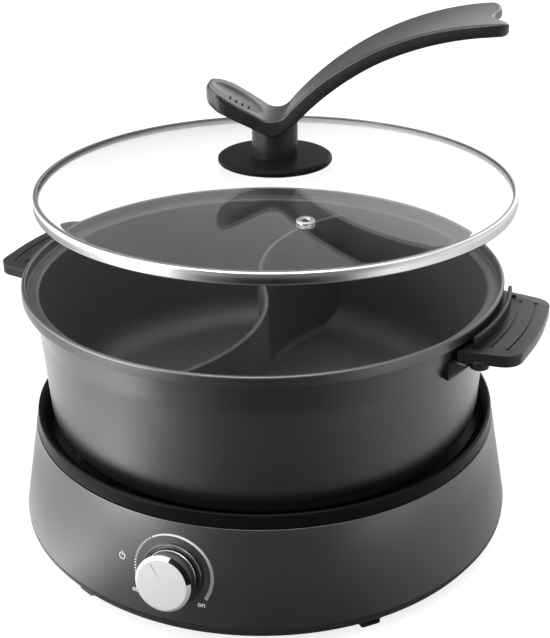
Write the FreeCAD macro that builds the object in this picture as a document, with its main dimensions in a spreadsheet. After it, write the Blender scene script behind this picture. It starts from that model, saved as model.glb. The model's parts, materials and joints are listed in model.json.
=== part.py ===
import FreeCAD, Part
import math
import os
import Sketcher

# Electric hot pot: a round heating base with a control knob, a divided pot with two side
# handles, and a lift-off glass lid with a V-shaped standing handle. Millimetres, +Z up.
# The origin is at the middle of the base, on the surface that the feet stand on.
# -Y is the knob's side. The pot's handles lie along X, turned by pot_turn about Z.

Vector = FreeCAD.Vector
Z_AXIS = Vector(0, 0, 1)
X_AXIS = Vector(1, 0, 0)
Y_AXIS = Vector(0, 1, 0)
ORIGIN = -1

doc = FreeCAD.newDocument("hot_pot")
sheet = doc.addObject("Spreadsheet::Sheet", "sizes")

SIZES = [
    # base
    ("foot_height", 12.0), ("foot_width", 16.0), ("foot_depth", 13.0), ("foot_taper", 7.0),
    ("foot_inset", 13.2), ("foot_pad_height", 2.0), ("foot_corner", 3.0),
    ("foot_spread", 35.0), ("foot_offset", 8.7),
    ("cover_inset", 0.2), ("cover_edge", 3.5), ("cover_sheet", 2.0), ("cover_bevel", 0.8),
    ("cover_lip_gap", 1.6), ("cover_lip_wall", 1.6), ("cover_lip_height", 4.5),
    ("vent_count", 16.0), ("vent_length", 24.0), ("vent_width", 4.0), ("vent_inset", 27.0),
    ("skirt_spread", 12.0), ("skirt_lead", 0.5), ("skirt_height", 64.1),
    ("skirt_wall", 1.2), ("skirt_flange", 5.9),
    ("seam_gap", 0.6), ("rim_height", 8.8), ("rim_spread", 1.7), ("rim_width", 7.0),
    ("rim_bevel", 0.7), ("rim_land", 0.8), ("rim_drop", 5.0), ("rim_skirt_wall", 1.5),
    ("well_gap", 3.5), ("well_depth", 21.8), ("well_wall", 1.2), ("well_flange_gap", 0.3),
    ("well_hole_radius", 92.0),
    ("plate_radius", 105.0), ("plate_flange", 4.6), ("plate_thickness", 11.8),
    ("plate_bevel", 0.5), ("plate_boss_gap", 0.4),
    ("element_circle", 66.0), ("element_radius", 4.2), ("element_sweep", 330.0),
    ("element_pin_radius", 3.0), ("element_pin_length", 16.0),
    ("reflector_drop", 12.0), ("reflector_radius", 88.0), ("reflector_wall", 0.8),
    ("reflector_rim", 11.0), ("reflector_hole", 7.0),
    ("stud_count", 3.0), ("stud_radius", 2.5), ("stud_circle", 40.0), ("stud_length", 15.5),
    ("stud_nut_radius", 4.6),
    ("stud_nut_height", 3.2),
    ("sensor_hole_radius", 14.6), ("sensor_cap_radius", 13.8), ("sensor_cap_height", 3.0),
    ("sensor_sink", 0.2), ("sensor_stem_radius", 7.0), ("sensor_stem_length", 15.0),
    ("sensor_bore_gap", 0.3), ("sensor_sleeve_wall", 1.6), ("sensor_sleeve_height", 10.0),
    ("sensor_shoulder", 2.0), ("spring_gap", 0.3), ("spring_fold", 1.6), ("spring_wall", 0.4),
    ("spring_folds", 5.0),
    ("fuse_radius", 3.0), ("fuse_length", 16.0), ("fuse_place", 30.0), ("fuse_clip_width", 5.0),
    ("fuse_clip_wall", 0.8),
    ("post_count", 4.0), ("post_radius", 6.0), ("post_bore", 2.1), ("post_inset", 15.2), ("post_turn", 45.0),
    ("screw_radius", 2.0), ("screw_length", 14.0), ("screw_head_radius", 4.0),
    ("screw_head_height", 1.8),
    # knob
    ("knob_height_on_skirt", 30.5), ("bezel_radius", 20.0), ("bezel_bore", 17.1),
    ("bezel_floor", 4.5), ("bezel_rise", 1.8), ("bezel_depth", 5.5), ("bezel_bevel", 0.9),
    ("bezel_clip", 3.0), ("bezel_clip_height", 1.5), ("fixed_gap", 0.05), ("static_gap", 0.1),
    ("regulator_length", 34.0), ("regulator_width", 30.0), ("regulator_depth", 16.0),
    ("bezel_screw_spread", 10.0), ("small_screw_radius", 1.3), ("small_head_radius", 2.5),
    ("small_head_height", 0.9), ("small_screw_length", 9.0),
    ("knob_radius", 16.2), ("knob_lift", 0.4), ("knob_body_height", 11.6),
    ("cap_radius", 17.9), ("cap_height", 3.6), ("cap_bevel", 1.9),
    ("pointer_outer", 13.8), ("pointer_inner", 4.8), ("pointer_width", 2.0),
    ("pointer_depth", 0.6), ("pointer_angle", 30.0),
    ("shaft_radius", 3.0), ("shaft_gap", 0.06), ("shaft_room", 0.35), ("shaft_depth", 14.0),
    ("shaft_end", 3.0), ("end_gap", 1.0),
    # power inlet
    ("inlet_height_on_skirt", 28.5), ("inlet_width", 42.0), ("inlet_tall", 28.0),
    ("inlet_rise", 1.8), ("inlet_depth", 18.0), ("inlet_wall", 5.0), ("inlet_floor", 5.0),
    ("inlet_corner", 4.0), ("inlet_clip", 2.0), ("inlet_clip_height", 1.8), ("inlet_clip_place", 6.0),
    ("pin_radius", 2.0), ("pin_spread", 8.0), ("pin_length", 9.0), ("pin_tail", 7.0),
    # pot
    ("pot_turn", -5.0), ("seat_gap", 0.2), ("pot_height", 110.3), ("pot_low_radius", 146.7),
    ("pot_draft", 4.8), ("pot_wall", 2.0), ("pot_floor", 2.8), ("pot_corner", 26.0),
    ("flare_spread", 6.9), ("flare_height", 19.2), ("lip_spread", 2.2), ("lip_height", 8.1),
    ("lip_wall", 2.8), ("lip_bevel", 0.8), ("lip_taper", 0.4), ("ledge_depth", 6.5),
    ("divider_drop", 7.8), ("divider_wall", 3.0), ("divider_bulge", 24.0), ("divider_gap", 0.15),
    # side handles
    ("grip_drop", 11.3), ("grip_height", 7.5), ("grip_depth", 32.1), ("grip_end_half", 41.5),
    ("grip_bow", 3.6), ("grip_root_half", 51.0), ("grip_root_depth", 8.4),
    ("grip_pot_gap", 0.8), ("grip_corner", 9.0), ("grip_edge", 1.6),
    ("rib_inset", 4.6), ("rib_wall", 2.8), ("rib_height", 7.4), ("rib_half", 41.0),
    ("channel_width", 3.0), ("channel_depth", 1.5), ("channel_half", 43.0),
    ("groove_count", 2.0), ("groove_inset", 3.0), ("groove_pitch", 10.6), ("groove_width", 1.2),
    ("groove_depth", 1.0), ("groove_half", 37.0),
    ("boss_radius", 6.0), ("boss_height", 4.0), ("boss_place", -43.0),
    ("bracket_height", 15.5), ("bracket_foot", 4.0), ("bracket_lead", 6.6),
    ("bracket_half", 48.0), ("bracket_wall", 4.0), ("bracket_top", 2.6), ("bracket_gap", 0.3),
    ("grip_screw_inset", 3.9), ("grip_screw_angle", 11.0), ("grip_screw_radius", 1.6),
    ("grip_screw_length", 7.0), ("grip_screw_head", 2.5), ("grip_screw_head_height", 1.6),
    ("stud_pin_radius", 2.0), ("stud_pin_length", 8.5), ("stud_pin_angle", 7.0),
    ("stud_pin_drop", 11.5), ("nut_radius", 3.6), ("nut_height", 2.6),
    # lid
    ("lid_turn", 14.0), ("lid_hover", 59.8), ("lid_aside", 8.8), ("lid_aside_turn", 19.7),
    ("lid_gap", 1.4), ("band_height", 7.3),
    ("band_wall", 0.6), ("band_top_width", 2.6), ("band_low_width", 4.6), ("band_bevel", 1.2),
    ("glass_inset", 1.2), ("glass_wall", 4.0), ("dome_rise", 13.0), ("glass_band_gap", 0.1),
    ("glass_hole", 4.6), ("seal_gap", 0.05), ("seal_lip", 0.6), ("seal_height", 1.5), ("seal_rise", 0.15),
    ("vent_radius", 2.2), ("vent_flange", 5.6), ("vent_sleeve", 3.8), ("vent_flange_height", 1.1),
    ("vent_place", 98.5), ("vent_angle", -74.3),
    ("washer_pad", 0.8), ("washer_pad_radius", 34.0),
    ("seat_radius", 36.9), ("seat_height", 4.0), ("seat_bevel", 0.8),
    ("post_top_radius", 14.7), ("post_foot", 0.8), ("post_foot_height", 1.6),
    ("handle_screw_radius", 2.5), ("handle_screw_length", 20.0), ("handle_screw_head", 6.0),
    ("handle_screw_head_height", 2.6), ("washer_radius", 14.0), ("washer_height", 1.0),
    ("washer_gap", 0.15),
    # V-shaped lid handle, heights counted from the seat's top face
    ("bend_height", 14.9), ("bend_place", 1.5),
    ("short_reach", 43.2), ("short_height", 37.2), ("short_start", 9.0), ("short_start_height", 29.8),
    ("short_tip_reach", 38.6), ("short_tip_height", 46.8), ("short_low_height", 20.2),
    ("long_start", 10.0), ("long_start_height", 33.0), ("long_mid", 61.0),
    ("long_mid_height", 72.6), ("long_end", 139.0), ("long_end_height", 91.7),
    ("long_low_start", 16.0), ("long_low_start_height", 26.8), ("long_low_mid", 64.0),
    ("long_low_mid_height", 64.6), ("long_low_end", 140.0), ("long_low_end_height", 84.0),
    ("arm_half_bend", 18.5), ("arm_half_tip", 35.5), ("arm_half_short", 22.0),
    ("short_corner", 14.0), ("tail_corner", 9.0), ("tail_round", 11.0), ("tail_notch", 6.5),
    ("tail_lobe", 21.0), ("bend_round", 12.5), ("arch_near_radius", 180.0), ("arch_far_radius", 180.0),
    ("cut_margin", 2.0),
]


def fill_sheet():
    for row, (alias, number) in enumerate(SIZES, 1):
        sheet.set("A%d" % row, alias.replace("_", " "))
        sheet.set("B%d" % row, str(number))
        sheet.setAlias("B%d" % row, alias)
    doc.recompute()


fill_sheet()


# --- expressions -------------------------------------------------------------------------

def size(alias):
    return "sizes." + alias


def total(*terms):
    return "(" + " + ".join(terms) + ")"


def less(first, *rest):
    return "(" + " - ".join((first,) + rest) + ")"


def half(term):
    return "(" + term + " / 2)"


def neg(term):
    return "(0 - " + term + ")"


def number(expression):
    result = sheet.evalExpression(expression)
    return float(getattr(result, "Value", result))


def count(alias):
    return int(round(number(size(alias))))


def degrees(term):
    return "(" + term + " * 1 deg)"


def polar_x(radius, angle):
    return "(%s * cos(%s))" % (radius, degrees(angle))


def polar_y(radius, angle):
    return "(%s * sin(%s))" % (radius, degrees(angle))


def put(thing, x="0", y="0", z="0", axis=Z_AXIS, angle="0"):
    """Bind an object's place, and its turn in degrees about an axis, to sheet values."""
    turn = FreeCAD.Rotation(axis, number(angle))
    thing.Placement = FreeCAD.Placement(Vector(number(x), number(y), number(z)), turn)
    thing.setExpression("Placement.Base.x", x)
    thing.setExpression("Placement.Base.y", y)
    thing.setExpression("Placement.Base.z", z)
    if angle != "0":
        thing.setExpression("Placement.Rotation.Angle", degrees(angle))
    return thing


# --- sketches and features ---------------------------------------------------------------

def plane(body, role):
    return [feature for feature in body.Origin.OriginFeatures if feature.Role == role][0]


def arc_centre(start, end, radius, side):
    chord = end - start
    middle = (start + end) * 0.5
    height = math.sqrt(max(radius * radius - chord.Length * chord.Length / 4, 0))
    normal = Vector(-chord.y, chord.x, 0).normalize()
    return middle + normal * (height * side)


def draw_loop(sketch, corners):
    """Draw a closed loop. A corner is (x, y), or (x, y, radius, side) where the edge that
    starts there is an arc whose centre is on the given side: 1 is left, -1 is right."""
    points = [Vector(number(corner[0]), number(corner[1]), 0) for corner in corners]
    first = sketch.GeometryCount
    ends = []
    for place, corner in enumerate(corners):
        start = points[place]
        end = points[(place + 1) % len(points)]
        if len(corner) == 2:
            sketch.addGeometry(Part.LineSegment(start, end), False)
            ends.append((1, 2))
            continue
        radius = number(corner[2])
        centre = arc_centre(start, end, radius, corner[3])
        angles = [math.atan2(point.y - centre.y, point.x - centre.x) for point in (start, end)]
        if corner[3] < 0:
            angles.reverse()
        circle = Part.Circle(centre, Z_AXIS, radius)
        sketch.addGeometry(Part.ArcOfCircle(circle, angles[0], angles[1]), False)
        ends.append((1, 2) if corner[3] > 0 else (2, 1))
    for place, corner in enumerate(corners):
        edge = first + place
        following = first + (place + 1) % len(corners)
        following_start = ends[(place + 1) % len(corners)][0]
        sketch.addConstraint(
            Sketcher.Constraint("Coincident", edge, ends[place][1], following, following_start))
        for kind, expression in (("DistanceX", corner[0]), ("DistanceY", corner[1])):
            bind(sketch, expression, kind, ORIGIN, 1, edge, ends[place][0])
        if len(corner) == 4:
            bind(sketch, corner[2], "Radius", edge)


def bind(sketch, expression, kind, *references):
    value = number(expression)
    index = sketch.addConstraint(Sketcher.Constraint(kind, *references, value))
    sketch.setExpression("Constraints[%d]" % index, expression)


def draw_circle(sketch, x, y, radius):
    centre = Vector(number(x), number(y), 0)
    circle = sketch.addGeometry(Part.Circle(centre, Z_AXIS, number(radius)), False)
    bind(sketch, x, "DistanceX", ORIGIN, 1, circle, 3)
    bind(sketch, y, "DistanceY", ORIGIN, 1, circle, 3)
    bind(sketch, radius, "Radius", circle)


def new_sketch(body, role, lift=None):
    sketch = body.newObject("Sketcher::SketchObject", body.Label + "_outline")
    sketch.AttachmentSupport = [(plane(body, role), "")]
    sketch.MapMode = "FlatFace"
    if lift:
        sketch.setExpression("AttachmentOffset.Base.z", lift)
    return sketch


def new_body(label):
    body = doc.addObject("PartDesign::Body", label)
    body.Label = label
    return body


def revolved(label, corners):
    """A body of revolution about Z. Corners are (radius, height)."""
    body = new_body(label)
    sketch = new_sketch(body, "XZ_Plane")
    draw_loop(sketch, corners)
    feature = body.newObject("PartDesign::Revolution", label + "_revolution")
    feature.Profile = sketch
    feature.ReferenceAxis = (sketch, ["V_Axis"])
    feature.Angle = 360
    doc.recompute()
    return body


def padded(label, corners, height, lift="0", role="XY_Plane", centred=False, taper=None,
           circles=()):
    """A prism on an outline: upwards from lift on the XY plane, or centred on XZ."""
    body = new_body(label)
    sketch = new_sketch(body, role, lift)
    if corners:
        draw_loop(sketch, corners)
    for circle in circles:
        draw_circle(sketch, *circle)
    feature = body.newObject("PartDesign::Pad", label + "_pad")
    feature.Profile = sketch
    feature.setExpression("Length", height)
    feature.Midplane = centred
    if taper:
        feature.setExpression("TaperAngle", degrees(taper))
    doc.recompute()
    return body


def rounded(body, radius, picks):
    """Fillet the edges of a body's tip that picks accepts."""
    tip = body.Tip
    names = ["Edge%d" % place for place, edge in enumerate(tip.Shape.Edges, 1) if picks(edge)]
    feature = body.newObject("PartDesign::Fillet", body.Label + "_round")
    feature.Base = (tip, names)
    feature.setExpression("Radius", radius)
    body.Tip = feature
    doc.recompute()
    return body


def circle_at(radius, height):
    """Pick circular edges round Z by radius and height."""
    def picks(edge):
        curve = edge.Curve
        if not isinstance(curve, Part.Circle):
            return False
        near = abs(curve.Radius - number(radius)) < TOUCH
        return near and abs(curve.Center.z - number(height)) < TOUCH
    return picks


def upright(edge):
    """Pick edges that run mostly along Z."""
    if len(edge.Vertexes) != 2:
        return False
    run = edge.Vertexes[1].Point - edge.Vertexes[0].Point
    return abs(run.z) > abs(run.x) + abs(run.y)


TOUCH = 0.01


def cylinder(label, radius, height, x="0", y="0", z="0", axis=Z_AXIS, angle="0"):
    thing = doc.addObject("Part::Cylinder", label)
    thing.setExpression("Radius", radius)
    thing.setExpression("Height", height)
    return put(thing, x, y, z, axis, angle)


def block(label, length, width, height, x="0", y="0", z="0", axis=Z_AXIS, angle="0"):
    thing = doc.addObject("Part::Box", label)
    thing.setExpression("Length", length)
    thing.setExpression("Width", width)
    thing.setExpression("Height", height)
    return put(thing, x, y, z, axis, angle)


def middle_block(label, length, width, height, z):
    """A block centred on the Z axis in X and Y."""
    return block(label, length, width, height, neg(half(length)), neg(half(width)), z)


def ring(label, inner, wall, height, z):
    """A plain tube standing on z."""
    outer_part = cylinder(label + "_outer", total(inner, wall), height, z=z)
    inner_part = cylinder(label + "_inner", inner, total(height, MARGIN), z=less(z, half(MARGIN)))
    return cut(label, outer_part, inner_part)


def cut(label, base, tool):
    thing = doc.addObject("Part::Cut", label)
    thing.Base = base
    thing.Tool = tool
    return thing


def common(label, first, second):
    thing = doc.addObject("Part::Common", label)
    thing.Base = first
    thing.Tool = second
    return thing


def fuse(label, parts):
    thing = doc.addObject("Part::MultiFuse", label)
    thing.Shapes = parts
    thing.Refine = True
    return thing


def group(label, parts):
    thing = doc.addObject("Part::Compound", label)
    thing.Links = parts
    return thing


def screw(label, radius, length, head_radius, head_height):
    """A pan-head screw along Z: its shank goes up from 0, its head hangs below."""
    shank = cylinder(label + "_shank", radius, total(length, head_height), z=neg(head_height))
    head = cylinder(label + "_head", head_radius, head_height, z=neg(head_height))
    return fuse(label, [shank, head])


nodes = {}


def node(label, thing):
    """Name a finished sub-part."""
    thing.Label = label
    nodes[label] = thing
    return thing


def framed(label, thing, x="0", y="0", z="0", axis=Z_AXIS, angle="0"):
    """Carry an object into place inside a compound of its own."""
    carrier = group(label, [thing])
    return put(carrier, x, y, z, axis, angle)


MARGIN = size("cut_margin")
QUARTER_TURN = "90"
HALF_TURN = "180"

# --- radii, from the pot outwards --------------------------------------------------------

POT_WALL_RADIUS = total(size("pot_low_radius"), size("pot_draft"))
FLARE_RADIUS = total(POT_WALL_RADIUS, size("flare_spread"))
LIP_RADIUS = total(FLARE_RADIUS, size("lip_spread"))
LIP_INNER = less(LIP_RADIUS, size("lip_wall"))
LEDGE_RADIUS = less(POT_WALL_RADIUS, size("pot_wall"))
INSIDE_RADIUS = less(size("pot_low_radius"), size("pot_wall"))
WELL_RADIUS = total(size("pot_low_radius"), size("well_gap"))
POST_CIRCLE = less(WELL_RADIUS, size("post_inset"))
VENT_CIRCLE = less(POST_CIRCLE, size("vent_inset"))
RIM_TOP_RADIUS = total(WELL_RADIUS, size("rim_width"))
RIM_LOW_RADIUS = total(RIM_TOP_RADIUS, size("rim_spread"))
SKIRT_TOP_RADIUS = total(RIM_LOW_RADIUS, size("skirt_lead"))
SKIRT_LOW_RADIUS = total(SKIRT_TOP_RADIUS, size("skirt_spread"))
COVER_RADIUS = less(SKIRT_LOW_RADIUS, size("cover_inset"))
FOOT_CIRCLE = less(COVER_RADIUS, size("foot_inset"))
GRIP_ROOT = less(FLARE_RADIUS, size("grip_root_depth"))
GRIP_REACH = total(FLARE_RADIUS, size("grip_depth"))
GRIP_END = less(GRIP_REACH, size("grip_bow"))
GRIP_SCREW_REACH = total(FLARE_RADIUS, size("grip_screw_inset"))
BRACKET_REACH = total(FLARE_RADIUS, size("bracket_lead"))
RIB_RADIUS = total(FLARE_RADIUS, size("rib_inset"))
BOSS_REACH = total(RIB_RADIUS, size("rib_wall"))
GROOVE_RADIUS = total(BOSS_REACH, size("channel_width"), size("groove_inset"))
LID_RADIUS = less(LIP_INNER, size("lid_gap"))
GLASS_RADIUS = less(LID_RADIUS, size("glass_inset"))
BAND_TOP_REACH = less(LID_RADIUS, size("band_top_width"))
BAND_LOW_REACH = less(LID_RADIUS, size("band_low_width"))

# --- heights and places ------------------------------------------------------------------

COVER_LOW = size("foot_height")
SKIRT_LOW = total(COVER_LOW, size("cover_edge"))
SEAM = total(SKIRT_LOW, size("skirt_height"))
RIM_LOW = total(SEAM, size("seam_gap"))
RIM_SEAT = total(SEAM, size("well_wall"))
RIM_TOP = total(RIM_LOW, size("rim_height"))
WELL_FLOOR = less(RIM_TOP, size("well_depth"))
WELL_UNDER = less(WELL_FLOOR, size("well_wall"))
PLATE_TOP = total(WELL_FLOOR, size("plate_flange"))
PLATE_LOW = less(PLATE_TOP, size("plate_thickness"))
REFLECTOR_LOW = less(PLATE_LOW, size("reflector_drop"))
REFLECTOR_TOP = total(REFLECTOR_LOW, size("reflector_wall"))
POT_LOW = total(PLATE_TOP, size("seat_gap"))
POT_TOP = total(POT_LOW, size("pot_height"))
LIP_LOW = less(POT_TOP, size("lip_height"))
LEDGE = less(POT_TOP, size("ledge_depth"))
FLARE_LOW = less(LIP_LOW, size("flare_height"))
POT_INSIDE = total(POT_LOW, size("pot_floor"))
SLOPE = "atan((%s - %s) / %s)" % (
    SKIRT_LOW_RADIUS, SKIRT_TOP_RADIUS, size("skirt_height"))
SKIRT_TURN = "(%s - %s / 1 deg)" % (QUARTER_TURN, SLOPE)
GRIP_TOP = less(POT_TOP, size("grip_drop"))
GRIP_LOW = less(GRIP_TOP, size("grip_height"))
BRACKET_LOW = less(GRIP_LOW, size("bracket_height"))
LID_LOW = total(LEDGE, size("lid_hover"))
BAND_TOP = total(LID_LOW, size("band_height"))
APEX = total(BAND_TOP, neg(size("band_wall")), neg(size("glass_band_gap")), size("dome_rise"))
GLASS_LOW = less(APEX, size("glass_wall"))
SEAT_LOW = total(APEX, size("washer_pad"))
SEAT_TOP = total(SEAT_LOW, size("seat_height"))
DOME_RADIUS = "((%s ^ 2 + %s ^ 2) / (2 * %s))" % (
    BAND_TOP_REACH, size("dome_rise"), size("dome_rise"))


def skirt_radius(height_on_skirt):
    """The skirt's outer radius at a height above its lower edge."""
    return "(%s - %s * (%s - %s) / %s)" % (
        SKIRT_LOW_RADIUS, height_on_skirt, SKIRT_LOW_RADIUS,
        SKIRT_TOP_RADIUS, size("skirt_height"))


def quarter_angles():
    """The four feet stand on a rectangle whose front edge faces foot_offset past the knob."""
    front = less(size("foot_offset"), QUARTER_TURN)
    back = total(size("foot_offset"), QUARTER_TURN)
    return {
        "foot_front_left": less(front, size("foot_spread")),
        "foot_front_right": total(front, size("foot_spread")),
        "foot_rear_right": less(back, size("foot_spread")),
        "foot_rear_left": total(back, size("foot_spread")),
    }


# --- base --------------------------------------------------------------------------------

def rectangle(length, width, corner):
    """A rectangle's outline about the origin, with round corners."""
    right = half(length)
    top = half(width)
    inner_x = less(right, corner)
    inner_y = less(top, corner)
    return [
        (neg(inner_x), neg(top)), (inner_x, neg(top), corner, 1),
        (right, neg(inner_y)), (right, inner_y, corner, 1),
        (inner_x, top), (neg(inner_x), top, corner, 1),
        (neg(right), inner_y), (neg(right), neg(inner_y), corner, 1)]


def build_feet():
    pads = []
    height = less(size("foot_height"), size("foot_pad_height"))
    for label, angle in quarter_angles().items():
        outline = rectangle(size("foot_depth"), size("foot_width"), size("foot_corner"))
        foot = padded(label, outline, height, taper=neg(size("foot_taper")))
        foot_x = polar_x(FOOT_CIRCLE, angle)
        foot_y = polar_y(FOOT_CIRCLE, angle)
        # The outline is the wide top face, so the foot is turned over and stands under the cover.
        flipped = framed(label + "_flipped", foot, z=height, axis=X_AXIS, angle=HALF_TURN)
        node(label, framed(label + "_placed", flipped, foot_x, foot_y, size("foot_pad_height"),
                           angle=angle))
        side = "(%s * tan(%s))" % (height, degrees(size("foot_taper")))
        pad = padded(label + "_pad", rectangle(
            less(size("foot_depth"), side, side), less(size("foot_width"), side, side),
            less(size("foot_corner"), side)), size("foot_pad_height"))
        pads.append(framed(label + "_pad_placed", pad, foot_x, foot_y, angle=angle))
    node("foot_pads", group("foot_pads", pads))


def build_cover():
    lip_outer = less(SKIRT_LOW_RADIUS, size("skirt_wall"), size("cover_lip_gap"))
    lip_inner = less(lip_outer, size("cover_lip_wall"))
    floor = total(COVER_LOW, size("cover_sheet"))
    lip_top = total(SKIRT_LOW, size("cover_lip_height"))
    disc = revolved("cover_disc", [
        ("0", COVER_LOW), (less(COVER_RADIUS, size("cover_bevel")), COVER_LOW),
        (COVER_RADIUS, total(COVER_LOW, size("cover_bevel"))),
        (COVER_RADIUS, SKIRT_LOW), (lip_outer, SKIRT_LOW), (lip_outer, lip_top),
        (lip_inner, lip_top), (lip_inner, floor), ("0", floor)])
    holes = []
    for place in range(count("vent_count")):
        angle = "(%d * 360 / %s)" % (place, size("vent_count"))
        slot = block("vent_slot_%d" % place, size("vent_length"), size("vent_width"),
                     total(size("cover_sheet"), MARGIN), neg(half(size("vent_length"))),
                     neg(half(size("vent_width"))), "0")
        holes.append(framed("vent_cutter_%d" % place, slot, polar_x(VENT_CIRCLE, angle),
                            polar_y(VENT_CIRCLE, angle),
                            less(COVER_LOW, half(MARGIN)), angle=angle))
    for place in range(count("post_count")):
        angle = post_angle(place)
        holes.append(cylinder("cover_hole_%d" % place, size("post_bore"),
                              total(size("cover_sheet"), MARGIN),
                              polar_x(POST_CIRCLE, angle),
                              polar_y(POST_CIRCLE, angle), less(COVER_LOW, half(MARGIN))))
    cutter = group("cover_cutter", holes)
    node("bottom_cover", cut("bottom_cover_cut", disc, cutter))


def post_angle(place):
    return "(%s + %d * 360 / %s)" % (size("post_turn"), place, size("post_count"))


def build_skirt():
    wall = "(%s / cos(%s))" % (size("skirt_wall"), SLOPE)
    flange_low = less(SEAM, size("skirt_wall"))
    top = SKIRT_TOP_RADIUS
    shell = revolved("skirt_shell", [
        (SKIRT_LOW_RADIUS, SKIRT_LOW), (top, SEAM), (less(top, size("skirt_flange")), SEAM),
        (less(top, size("skirt_flange")), flange_low), (less(top, wall), flange_low),
        (less(SKIRT_LOW_RADIUS, wall), SKIRT_LOW)])
    reach = total(size("bezel_radius"), size("bezel_radius"))
    knob_hole = cylinder("knob_hole", total(size("bezel_radius"), size("fixed_gap")), reach,
                         z=neg(half(reach)))
    inlet_hole = middle_block("inlet_hole", total(size("inlet_width"), size("static_gap")),
                              total(size("inlet_tall"), size("static_gap")), reach,
                              neg(half(reach)))
    cutter = group("skirt_cutter", [on_front("knob_hole_placed", knob_hole),
                                    on_back("inlet_hole_placed", inlet_hole)])
    node("base_skirt", cut("base_skirt_cut", shell, cutter))


def on_front(label, thing):
    """Turn a piece modelled along +Z so that it points out of the skirt's front."""
    up = size("knob_height_on_skirt")
    return framed(label, thing, "0", neg(skirt_radius(up)), total(SKIRT_LOW, up),
                  X_AXIS, SKIRT_TURN)


def on_back(label, thing):
    """Turn a piece modelled along +Z so that it points out of the skirt's back."""
    up = size("inlet_height_on_skirt")
    return framed(label, thing, "0", skirt_radius(up), total(SKIRT_LOW, up),
                  X_AXIS, neg(SKIRT_TURN))


def build_rim():
    inner = WELL_RADIUS
    seat = less(RIM_LOW_RADIUS, size("rim_skirt_wall"))
    land = less(RIM_TOP_RADIUS, size("rim_land"))
    node("base_rim", revolved("base_rim", [
        (seat, RIM_LOW), (RIM_LOW_RADIUS, RIM_LOW),
        (total(RIM_TOP_RADIUS, size("rim_bevel")), less(RIM_TOP, size("rim_bevel"))),
        (RIM_TOP_RADIUS, RIM_TOP), (land, RIM_TOP), (inner, less(RIM_TOP, size("rim_drop"))),
        (inner, RIM_SEAT), (seat, RIM_SEAT)]))


def build_well():
    inner = WELL_RADIUS
    outer = total(inner, size("well_wall"))
    flange = less(RIM_LOW_RADIUS, size("rim_skirt_wall"), size("well_flange_gap"))
    pan = revolved("well_pan", [
        (size("well_hole_radius"), WELL_UNDER), (outer, WELL_UNDER), (outer, SEAM), (flange, SEAM),
        (flange, RIM_SEAT), (inner, RIM_SEAT), (inner, WELL_FLOOR),
        (size("well_hole_radius"), WELL_FLOOR)])
    holes = [cylinder("well_hole_%d" % place, size("post_bore"), total(size("well_wall"), MARGIN),
                      polar_x(POST_CIRCLE, post_angle(place)),
                      polar_y(POST_CIRCLE, post_angle(place)),
                      less(WELL_UNDER, half(MARGIN))) for place in range(count("post_count"))]
    node("base_well", cut("base_well_cut", pan, group("well_cutter", holes)))


def build_posts():
    floor = total(COVER_LOW, size("cover_sheet"))
    height = less(WELL_UNDER, floor)
    posts = []
    low_screws = []
    top_screws = []
    for place in range(count("post_count")):
        x = polar_x(POST_CIRCLE, post_angle(place))
        y = polar_y(POST_CIRCLE, post_angle(place))
        rod = cylinder("post_rod_%d" % place, size("post_radius"), height, x, y, floor)
        bore = cylinder("post_bore_%d" % place, size("post_bore"), total(height, MARGIN), x, y,
                        less(floor, half(MARGIN)))
        posts.append(cut("post_%d" % place, rod, bore))
        low = screw("cover_screw_%d" % place, size("screw_radius"), size("screw_length"),
                    size("screw_head_radius"), size("screw_head_height"))
        low_screws.append(put(low, x, y, COVER_LOW))
        top = screw("well_screw_%d" % place, size("screw_radius"), size("screw_length"),
                    size("screw_head_radius"), size("screw_head_height"))
        top_screws.append(put(top, x, y, WELL_FLOOR, X_AXIS, HALF_TURN))
    node("support_posts", group("support_posts", posts))
    node("cover_screws", group("cover_screws", low_screws))
    node("well_screws", group("well_screws", top_screws))


def build_plate():
    boss = less(size("well_hole_radius"), size("plate_boss_gap"))
    hole = size("sensor_hole_radius")
    edge = size("plate_radius")
    node("heating_plate", revolved("heating_plate", [
        (hole, PLATE_LOW), (boss, PLATE_LOW), (boss, WELL_FLOOR), (edge, WELL_FLOOR),
        (edge, less(PLATE_TOP, size("plate_bevel"))), (less(edge, size("plate_bevel")), PLATE_TOP),
        (hole, PLATE_TOP)]))


def build_element():
    centre_height = less(PLATE_LOW, size("element_radius"), size("fixed_gap"))
    tube = doc.addObject("Part::Torus", "element_tube")
    tube.setExpression("Radius1", size("element_circle"))
    tube.setExpression("Radius2", size("element_radius"))
    tube.setExpression("Angle3", degrees(size("element_sweep")))
    put(tube, z=centre_height)
    pins = [cylinder("element_pin_%d" % place, size("element_pin_radius"),
                     size("element_pin_length"), polar_x(size("element_circle"), angle),
                     polar_y(size("element_circle"), angle),
                     less(centre_height, size("element_pin_length")))
            for place, angle in enumerate(("0", size("element_sweep")))]
    node("heating_element", fuse("heating_element", [tube] + pins))


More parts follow.
